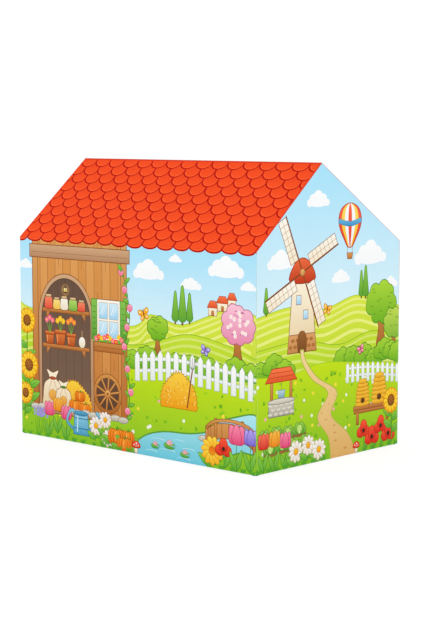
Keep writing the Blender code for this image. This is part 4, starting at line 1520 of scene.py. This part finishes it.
def mixedFinish(name, tones, level, strength, depth, roughness, shine=0.5):  # tones and relief follow one pattern: the second tone lies on the raised parts, the first in the hollows
    made, tree, shader = startMaterial(name)
    height = level(tree)
    low, high = ((*linear(tone), 1) for tone in tones)
    tone = addNode(tree, "ShaderNodeMix", {"data_type": "RGBA"}, {"Factor": height, 6: low, 7: high})
    relief = addNode(tree, "ShaderNodeBump", {},
                     {"Strength": strength, "Distance": depth * mm, "Height": height})
    join(tree, shader, {"Base Color": tone.outputs[2], "Normal": relief,
                        "Roughness": roughness, "Specular IOR Level": shine})
    return made


def evenGrain(size):  # a grain of one size in millimetres, alike in every direction
    def level(tree):
        place = addNode(tree, "ShaderNodeTexCoord")
        return addNode(tree, "ShaderNodeTexNoise", {},
                       {"Vector": place.outputs["Object"], "Scale": 1 / (size * mm), "Detail": 2.0})
    return level


def polyesterThread(name, *tones):  # twisted polyester: a soft sheen, with a painted highlight, the colour made lighter where the plies would catch light
    return mixedFinish(name, tones, evenGrain(sewing["ply"]), 0.3, 0.1, 0.55, 0.3)


# each thread's second tone is a painted highlight on its raised plies
threads = {
    "red": polyesterThread("dark red polyester thread", "#B81A0A", "#E04028"),
    "green": polyesterThread("leaf green polyester thread", "#4E9A26", "#7CC23C"),
    "pale": polyesterThread("pale grey polyester thread", "#C9D6DC", "#EEF4F6"),
}


def startTree(name, sizes):  # a tree that takes a path, named sizes and a material
    group = bpy.data.node_groups.new(name, "GeometryNodeTree")
    names = {}
    for title, kind, value in (("Geometry", "Geometry", None), *sizes, ("Material", "Material", None)):
        made = group.interface.new_socket(title, in_out="INPUT", socket_type="NodeSocket" + kind)
        names[title] = made.identifier
        if value is not None:
            made.default_value = value
    group.interface.new_socket("Geometry", in_out="OUTPUT", socket_type="NodeSocketGeometry")
    given = addNode(group, "NodeGroupInput").outputs
    return group, names, given, addNode(group, "GeometryNodeMeshToCurve", {}, {0: given["Geometry"]})


def endTree(group, given, made):
    real = addNode(group, "GeometryNodeRealizeInstances", {}, {0: made})
    soft = addNode(group, "GeometryNodeSetShadeSmooth", {}, {0: real})
    dyed = addNode(group, "GeometryNodeSetMaterial", {}, {"Geometry": soft, "Material": given["Material"]})
    addNode(group, "NodeGroupOutput", {}, {0: dyed})


def stitchTree():
    sizes = [(title, "Float", sewing[title.lower()] * mm) for title in ("Pitch", "Stitch", "Thread", "Depth")]
    group, names, given, rows = startTree("running stitches", [*sizes, ("Outward", "Vector", (0.0, 0.0, 1.0))])
    spots = addNode(group, "GeometryNodeCurveToPoints", {"mode": "LENGTH"}, {"Curve": rows, "Length": given["Pitch"]})
    along = addNode(group, "FunctionNodeAlignRotationToVector", {"axis": "X"}, {"Vector": spots.outputs["Tangent"]})
    upright = addNode(group, "FunctionNodeAlignRotationToVector", {"axis": "Z", "pivot_axis": "X"},
                      {"Rotation": along, "Vector": given["Outward"]})
    ball = addNode(group, "GeometryNodeMeshUVSphere", {}, {"Segments": 6, "Rings": 4, "Radius": 0.5})
    size = addNode(group, "ShaderNodeCombineXYZ", {}, {0: given["Stitch"], 1: given["Thread"], 2: given["Depth"]})
    each = addNode(group, "GeometryNodeInstanceOnPoints", {},
                   {"Points": spots.outputs["Points"], "Instance": ball, "Rotation": upright, "Scale": size})
    endTree(group, given, each)
    return group, names


def grown(name, group, names, points, edges, values):  # runs a tree over bare edges and keeps the plain mesh
    mesh = bpy.data.meshes.new(name + "_path")
    mesh.from_pydata(points, edges, [])
    carrier = addObject(name + "_path", mesh)
    modifier = carrier.modifiers.new("tree", "NODES")
    modifier.node_group = group
    for key, value in values.items():
        modifier[names[key]] = value
    bpy.context.view_layer.update()
    ready = carrier.evaluated_get(bpy.context.evaluated_depsgraph_get())
    made = bpy.data.meshes.new_from_object(ready)
    made.name = name
    bpy.data.objects.remove(carrier)
    return addObject(name, made)


stitches, stitchNames = stitchTree()


def onPlane(plane, u, v, depth=0.0):
    origin, across, up = plane
    return origin + (across * u + up * v + across.cross(up) * depth) * mm


def sew(name, plane, paths, thread, depth=-0.4):  # a row of stitches along each path
    points, edges = [], []
    for path in paths:
        edges += [(len(points) + i, len(points) + i + 1) for i in range(len(path) - 1)]
        points += [onPlane(plane, u, v, depth) for u, v in path]
    return grown(name, stitches, stitchNames, points, edges,
                 {"Outward": plane[1].cross(plane[2]), "Material": threads[thread]})


tape = {
    # one off-white tape in two tones: painted shade between the ribs, painted highlight on them
    "tones": ("#D9D8D0", "#F4F3EE"),
    "ribPitch": 1.7,        # mm between the slanting ribs
    "bandWidth": 5.0,       # mm, where the slant turns back, as in herringbone
    "ribDepth": 0.12,       # mm
    "roughness": 0.78,
    "thick": 0.8,           # mm
    "bindingWidth": 15.0,   # round the doorway
    "borderWidth": 12.0,    # round the window
}


def herringbone(tree):
    place = addNode(tree, "ShaderNodeUVMap", {"uv_map": "millimetres"})
    split = addNode(tree, "ShaderNodeSeparateXYZ", {}, {0: place})
    slant = addNode(tree, "ShaderNodeMath", {"operation": "PINGPONG"}, {0: split.outputs["X"], 1: tape["bandWidth"]})
    ramp = addNode(tree, "ShaderNodeMath", {"operation": "ADD"}, {0: slant, 1: split.outputs["Y"]})
    turns = addNode(tree, "ShaderNodeMath", {"operation": "MULTIPLY"}, {0: ramp, 1: math.tau / tape["ribPitch"]})
    ribs = addNode(tree, "ShaderNodeMath", {"operation": "SINE"}, {0: turns})
    return addNode(tree, "ShaderNodeMapRange", {}, {"Value": ribs, "From Min": -1.0})


# woven herringbone tape: matt, with slanting ribs that turn back every few millimetres; painted shade darkens it
# between the ribs and a painted highlight lightens it on them
twill = mixedFinish("cotton twill tape", tape["tones"], herringbone, 0.5, tape["ribDepth"], tape["roughness"], 0.2)


def sweep(name, rings, girth, runs, material, sharp, closed):  # faces from ring to ring, with a map in millimetres
    count, total = len(rings[0]), len(rings)
    faces, maps = [], []
    for i in range(total if closed else total - 1):
        j = (i + 1) % total
        for k in range(count):
            m = (k + 1) % count
            faces.append((i * count + k, j * count + k, j * count + m, i * count + m))
            maps += [(girth[k], runs[i]), (girth[k], runs[i + 1]), (girth[m], runs[i + 1]), (girth[m], runs[i])]
    if not closed:
        for ring in (range(count), range((total - 1) * count, total * count)[::-1]):
            faces.append(tuple(ring))
            maps += [(girth[k % count], runs[k // count] + 0.4 * (k % count > count / 2)) for k in ring]
    mesh = bpy.data.meshes.new(name)
    mesh.from_pydata([point for ring in rings for point in ring], [], faces)
    mesh.shade_smooth()
    mesh.set_sharp_from_angle(angle=math.radians(sharp))
    mesh.uv_layers.new(name="millimetres").data.foreach_set("uv", np.array(maps, np.float32).ravel())
    mesh.materials.append(material)
    return addObject(name, mesh)


def strip(name, middles, sides, wide, thick, closed=False):  # a band of tape: middle points and the half-width vectors
    total = len(middles)
    section = [(-1, -0.5), (-0.94, -1), (0.94, -1), (1, -0.5), (1, 0.5), (0.94, 1), (-0.94, 1), (-1, 0.5)]
    rings, runs = [], [0.0]
    for i in range(total):
        before = middles[i - 1] if closed or i else middles[0]
        after = middles[(i + 1) % total] if closed or i < total - 1 else middles[-1]
        face = sides[i].cross(after - before).normalized()
        rings.append([middles[i] + (sides[i] * (x * wide) + face * (y * thick)) * (mm / 2) for x, y in section])
        runs.append(runs[-1] + (middles[(i + 1) % total] - middles[i]).length / mm)
    return sweep(name, rings, [x * wide / 2 for x, y in section], runs, twill, 50, closed)


def flatStrip(name, plane, path, depth, wide, closed=False):
    middles = [onPlane(plane, u, v, depth) for u, v in path]
    turns = [sideways(path, i, closed) for i in range(len(path))]
    sides = [plane[1] * u + plane[2] * v for u, v in turns]
    return strip(name, middles, sides, wide, tape["thick"], closed)


# The covers: each cloth panel with its sewing


def fit(piece, body, node=None, sewn=()):  # what a piece rides on, and the solid it stands for
    for each in (piece, *sewn):
        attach(each, body)
    if node:
        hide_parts(node)


hemLine = hemHeight + sewing["hemIn"]
into = sewing["seamIn"]
windowHole = windowRing(-windowFlap["overlap"])
windowSeam = grow(windowHole, tape["borderWidth"] / 2)
rearPrint = printed(rearArt)


def roofCover(node, plane, length, seed):
    outline = block(0, 0, 2 * halfLength, length)
    hems = [([(side * halfLength, 0), (side * halfLength, length)], sewing["sideHem"]) for side in (-1, 1)]
    piece = clothPanel(node + "_cloth", plane, outline, printed(roofArt, length), seed=seed, hems=hems)
    rows = [[(side * (halfLength - into), 2), (side * (halfLength - into), length - 2)] for side in (-1, 1)]
    rows += [[(-halfLength + 3, v), (halfLength - 3, v)] for v in (into, length - into)]
    sewn = [sew(node + "_stitches", plane, rows, "red")]
    fit(piece, "tent", node, sewn)


def wallCover(node, plane, outline, areas, seed, holes=(), hems=(), rows=()):
    half = max(p[0] for p in outline)
    top = max(p[1] for p in outline if abs(abs(p[0]) - half) < 0.01)
    bottom = [(-half, hemHeight), (half, hemHeight)]
    piece = clothPanel(node + "_cloth", plane, outline, areas, holes, seed, hems=[(bottom, sewing["wallHem"]), *hems])
    uprights = [[(side * (half - into), hemHeight + 3), (side * (half - into), top - 3)] for side in (-1, 1)]
    sewn = [sew(node + "_seam_stitches", plane, [*uprights, *rows], "pale"),
            sew(node + "_hem_stitches", plane, hemRows(outline), "green")]
    fit(piece, "tent", node, sewn)


def hemRows(outline):
    feet = sorted(p[0] for p in outline if abs(p[1] - hemHeight) < 0.01)
    return [[(a + 2, hemLine), (b - 2, hemLine)] for a, b in zip(feet[::2], feet[1::2])]


def gableRows(side):  # along both rakes, ending short of the corners
    ring = gableOutline(side)
    lines = []
    for (au, av), (bu, bv) in ((ring[2], ring[3]), (ring[3], ring[4])):
        length = math.hypot(bu - au, bv - av)
        du, dv = (bu - au) / length, (bv - av) / length
        au, av, bu, bv = (value + shift * side * into for value, shift in ((au, -dv), (av, du), (bu, -dv), (bv, du)))
        lines.append([(au + 5 * du, av + 5 * dv), (bu - 5 * du, bv - 5 * dv)])
    return lines


roofCover("roof_front", roofFrontPlane, roofFrontLength, 1.0)
roofCover("roof_rear", roofRearPlane, roofRearLength, 4.0)
wallCover("front_wall", frontPlane, wallOutline, printed(frontArt), 2.0)
wallCover("right_gable", rightPlane, gableOutline(1), printed(gableArt), 3.0,
          rows=gableRows(1))
wallCover("left_gable", leftPlane, gableOutline(-1), printed(leftGableArt), 5.0,
          [windowHole], rows=[*gableRows(-1), windowSeam + windowSeam[:1]])
wallCover("rear_wall", rearPlane, notched(), rearPrint, 6.0,
          hems=[(doorwayPath(), sewing["doorHem"])], rows=[doorwayPath(by, 3.0) for by in sewing["doorRows"]])
ridge = roofFrontPlane[0] + roofFrontPlane[2] * (roofFrontLength * mm)
ends = ((-1, 0.6), (-0.999, 1), (0.999, 1), (1, 0.6))    # the cord's ends are drawn in a little
rings = []
for x, shrink in ends:
    r = shrink * sewing["pipingRadius"]
    rings.append([ridge + Vector((x * halfLength, r * math.cos(a), -r * math.sin(a))) * mm
                  for a in (math.tau * k / 10 for k in range(10))])
runs = [x * halfLength for x, shrink in ends]
piping = sweep("ridge_piping", rings, [0.7 * k for k in range(10)], runs, threads["red"], 40, False)
fit(piping, "tent")
print("walls and roof are covered")

# Door flaps hang a little slack; each is sewn down its outer edge

flapSettings = {
    "hem": 11.0,
    "fold": 2.4,            # mm, depth of a soft fold
    "foldEvery": 92.0,
    "seams": (4.0, 10.0),   # mm from the sewn edge, a double row
}


def slack(u, v):  # soft upright folds that vanish at the hinge, alike on both flaps where they meet
    within = doorway["half"] - np.abs(u)
    away = np.clip(within / doorway["half"], 0, 1)
    down = 0.55 + 0.45 * np.clip((doorway["top"] - v) / doorway["top"], 0, 1)
    folds = 0.5 - 0.5 * np.cos(math.tau * within / flapSettings["foldEvery"] + 0.4 * np.sin(v / 130))
    return flapSettings["fold"] * folds * down * away * (2 - away)


# The left flap lies to the right as seen from behind
for side, node in ((1, "door_flap_left"), (-1, "door_flap_right")):
    outline = flapOutline(side)
    free = [outline[1], outline[0]] + outline[:0:-1][:-1]     # bottom, meeting edge and top
    piece = clothPanel(node + "_cloth", rearPlane, outline, rearPrint, seed=7.0, height=0.6,
                       hems=[(free, flapSettings["hem"])], swing=slack)
    top = doorway["top"] - doorway["corner"] - 5
    rows = [[(side * (doorway["half"] - x), hemHeight + 3), (side * (doorway["half"] - x), top)]
            for x in flapSettings["seams"]]
    sewn = [sew(node + "_stitches", rearPlane, rows, "pale")]
    fit(piece, node, node, sewn)

# Window flap, folded and sewn along its top edge


def openTop(ring):  # down one side, along the foot and up the other side
    return [ring[3], *ring[:3]]


flapPlane = wallPlane("window_flap", "left")
w = windowFlap
outline = windowRing()
piece = clothPanel("window_flap_cloth", flapPlane, outline, printed(windowFlapArt), seed=9.0, height=0.3,
                   hems=[(openTop(outline), sewing["sideHem"])])
rows = [openTop(block(0, w["low"] + 7, 2 * w["half"] - 14, w["high"] - w["low"] - 10))]
rows += [[(-w["half"] + 2, w["high"] - x), (w["half"] - 2, w["high"] - x)] for x in flapSettings["seams"]]
sewn = [sew("window_flap_stitches", flapPlane, rows, "pale")]
fit(piece, "window_flap", "window_flap", sewn)
print("door and window flaps are hung")

# Tapes


def middleOf(node):
    low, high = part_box(node)
    return (low + high) / 2


depth = (middleOf("doorway_tape").y - rearPlane[0].y) / mm
border = flatStrip("doorway_binding", rearPlane, doorwayPath(tape["bindingWidth"] / 2), depth, tape["bindingWidth"])
fit(border, "tent", "doorway_tape")
depth = (leftPlane[0].x - middleOf("window_tape").x) / mm
border = flatStrip("window_border_tape", leftPlane, windowSeam, depth, tape["borderWidth"], closed=True)
fit(border, "tent", "window_tape")

hanging = {
    "wide": 20.0,
    "proud": 0.7,           # mm off the cloth, at the middle of the tape
    "boxStitch": 14.0,      # mm
    "stitchIn": 3.0,        # mm from the sewn end
    "tieTop": 360.0,
    "tieLength": 150.0,
    "tieSteps": 16,
    "tieHeld": 0.16,        # share of its length that its stitches hold flat
    "tieLoose": 3.2,        # mm that it swings off the wall below them
    "tieBend": 7.5,         # radians of its soft wave along its length
    "tabFoot": 580.0,
    "tabLength": 60.0,
    "tabSteps": 8,
    "tabLoose": 1.2,
}


def cross(u, top, size):  # a box stitch with its cross
    a, b, c, d = block(u, top - size, size, size)
    return [[a, b, c, d, a, c], [b, d]]


def hangTape(node, plane, places, top):  # sewn at one end; places are (u, v, how far it stands off)
    h = hanging
    middles = [onPlane(plane, u, v, h["proud"] + off) for u, v, off in places]
    sewn = [sew(node + "_stitches", plane, cross(places[0][0], top - h["stitchIn"], h["boxStitch"]), "pale", 1.0)]
    piece = strip(node + "_tape", middles, [plane[1]] * len(middles), h["wide"], tape["thick"])
    fit(piece, "tent", node, sewn)


def tieAt(node, u):
    h = hanging
    places = []
    for i in range(h["tieSteps"] + 1):
        loose = max(0, i / h["tieSteps"] - h["tieHeld"])
        places.append((u, h["tieTop"] - h["tieLength"] * i / h["tieSteps"],
                       h["tieLoose"] * loose * (1.1 - math.cos(h["tieBend"] * loose))))
    hangTape(node, rearPlane, places, h["tieTop"])


def tabAt(node, u):
    h = hanging
    places = [(u, h["tabFoot"] + h["tabLength"] * i / h["tabSteps"], h["tabLoose"] * (1 - i / h["tabSteps"]) ** 2)
              for i in range(h["tabSteps"] + 1)]
    hangTape(node, leftPlane, places, h["tabFoot"] + h["tabLength"])


many(tieAt, ("door_tie_left", 260), ("door_tie_right", -260))
many(tabAt, ("window_tab_front", 80), ("window_tab_rear", -80))

loops = {
    "wide": 25.0,
    "riseIn": 26.0,         # mm up the wall, over the middle of the rail
    "turnedIn": 504.5,      # degrees, where the tape has gone round the rail and meets the wall again
    "middleIn": 0.45,       # mm from the loop's outside to the middle of the tape
    "layer": 0.85,          # mm in from the tape that comes down to the one that goes back up
    "stitchRows": (17, 23),
}


def hemLoop(node, wallNormal):  # a tape that comes down the wall, goes round the rail and back up
    low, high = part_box(node)
    centre = middleOf(node)
    inward = -wallNormal
    along = upward.cross(inward)
    radius = (high.z - low.z) / 2 / mm - loops["middleIn"]
    down, back = -radius, -radius + loops["layer"]
    shape = [(down, loops["riseIn"]), (down, 15), (down, 6)]
    shape += arc(0, 0, radius, radius, 180, loops["turnedIn"], 30)
    shape += [(back + 0.15, 12), (back, 18), (back, loops["riseIn"])]
    middles = [centre + (inward * x + upward * z) * mm for x, z in shape]
    plane = (Vector((centre.x, centre.y, 0)) - inward * (radius * mm), -along, upward)
    rows = [[(-10, centre.z / mm + v), (10, centre.z / mm + v)] for v in loops["stitchRows"]]
    sewn = [sew(node + "_stitches", plane, rows, "pale", 0.4)]
    piece = strip(node + "_tape", middles, [along] * len(middles), loops["wide"], tape["thick"])
    fit(piece, "tent", node, sewn)


for node in sorted(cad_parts):
    if node.startswith("hem_loop_"):
        facing = next(side for side in ("front", "rear", "left", "right") if side in node)
        hemLoop(node, outwards[facing])
print("tapes and loops are sewn on")

# Window net: knitted mesh, its threads drawn thicker than real ones so that they show

net = {"cell": 2.4, "thread": 0.46, "lean": 0.22}   # mm, mm and share of a cell that a thread wavers


def netTree():
    group, names, given, lines = startTree("net threads", [("Thread", "Float", net["thread"] * mm)])
    ring = addNode(group, "GeometryNodeCurvePrimitiveCircle", {}, {"Resolution": 4, "Radius": given["Thread"]})
    thread = addNode(group, "GeometryNodeCurveToMesh", {}, {"Curve": lines, "Profile Curve": ring, "Fill Caps": True})
    endTree(group, given, thread)
    return group, names


netLow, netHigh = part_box("window_net")
netMiddle = (netLow.x + netHigh.x) / 2
netWide, netTall = (netHigh.y - netLow.y) / mm, (netHigh.z - netLow.z) / mm
columns, netRows = round(netWide / net["cell"]), round(netTall / net["cell"])
points, edges = [], []
for i in range(columns + 1):  # upright threads waver from row to row, so the cells are six-sided
    for j in range(netRows + 1):
        lean = net["lean"] * net["cell"] * (1 if (i + j) % 2 else -1) if 0 < i < columns else 0
        y, z = i * netWide / columns + lean, j * netTall / netRows
        points.append((netMiddle, netLow.y + y * mm, netLow.z + z * mm))
        if j:
            edges.append((len(points) - 2, len(points) - 1))
tall = netRows + 1
for spot in [i * tall + j for i in range(columns) for j in range(tall) if (i + j) % 2]:
    edges.append((len(points), len(points) + 1))
    points += [points[spot], points[spot + tall]]
# the net's lighter tone is a painted highlight on the plies, as on the sewing thread
netThread = polyesterThread("white polyester net", "#D8DAD6", "#F5F6F3")
group, names = netTree()
knit = grown("window_net_threads", group, names, points, edges, {"Material": netThread})
fit(knit, "tent", "window_net")
print("the net has", len(knit.data.polygons), "faces")

# Frame: extruded tubes and moulded connectors

tubing = {
    "sides": 32,
    "wall": 1.6,            # mm
    "rounding": 0.5,
    "tones": ("#DDE1DF", "#F4F6F4"),
    "drawLine": 2.4,        # mm round the tube from line to line, wider than real ones so that they show
    "roughness": 0.36,
}
moulding = {
    "tones": ("#3A7AC2", "#4488D0"),
    "grain": 0.8,           # mm, the fine texture of the mould, drawn coarser so that it shows
    "roughness": 0.44,
}


def dieLines(tree):
    place = addNode(tree, "ShaderNodeUVMap", {"uv_map": "millimetres"})
    drawn = addNode(tree, "ShaderNodeMapping", {}, {"Vector": place, "Scale": (0.01, 1 / tubing["drawLine"], 1)})
    return addNode(tree, "ShaderNodeTexNoise", {}, {"Vector": drawn, "Scale": 1.0, "Detail": 2.0})


def tube(node, solid, material):  # a hollow tube with broken edges in place of the plain rod
    t = tubing
    places = np.array([v.co for v in solid.data.vertices])
    centre = (places.min(0) + places.max(0)) / 2
    ahead = np.linalg.svd(places - centre, full_matrices=False)[2][0]
    along = (places - centre) @ ahead
    radius = np.linalg.norm(places - centre - np.outer(along, ahead), axis=1).max() / mm
    low, high = along.min() / mm, along.max() / mm
    ahead = Vector(ahead)
    first = ahead.orthogonal().normalized()
    second = ahead.cross(first)
    edge, bore = t["rounding"], radius - t["wall"]
    profile = [(low + edge, radius), (high - edge, radius), (high, radius - edge),
               (high, bore), (low, bore), (low, radius - edge)]
    turns = [math.tau * k / t["sides"] for k in range(t["sides"] + 1)]
    spokes = [first * math.cos(a) + second * math.sin(a) for a in turns[:-1]]
    rings = [[Vector(centre) + (ahead * x + spoke * r) * mm for x, r in profile] for spoke in spokes]
    made = sweep(node + "_tube", rings, [x for x, r in profile], [a * radius for a in turns], material, 50, True)
    fit(made, "tent", node)


# extruded: smooth and waxy, with faint lines from the die along its length
polyethylene = mixedFinish("extruded white polyethylene", tubing["tones"], dieLines, 0.25, 0.1, tubing["roughness"])
# injection moulded: satin, with an even fine grain
polypropylene = mixedFinish("moulded blue polypropylene", moulding["tones"], evenGrain(moulding["grain"]),
                            0.3, 0.08, moulding["roughness"])
for node, solid in sorted(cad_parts.items()):
    plastic = solid.data.materials[0].name
    if plastic.startswith("tube"):
        tube(node, solid, polyethylene)
    elif plastic.startswith("connector"):
        for socket in solid.material_slots:
            socket.material = polypropylene
print("the frame has its plastics")
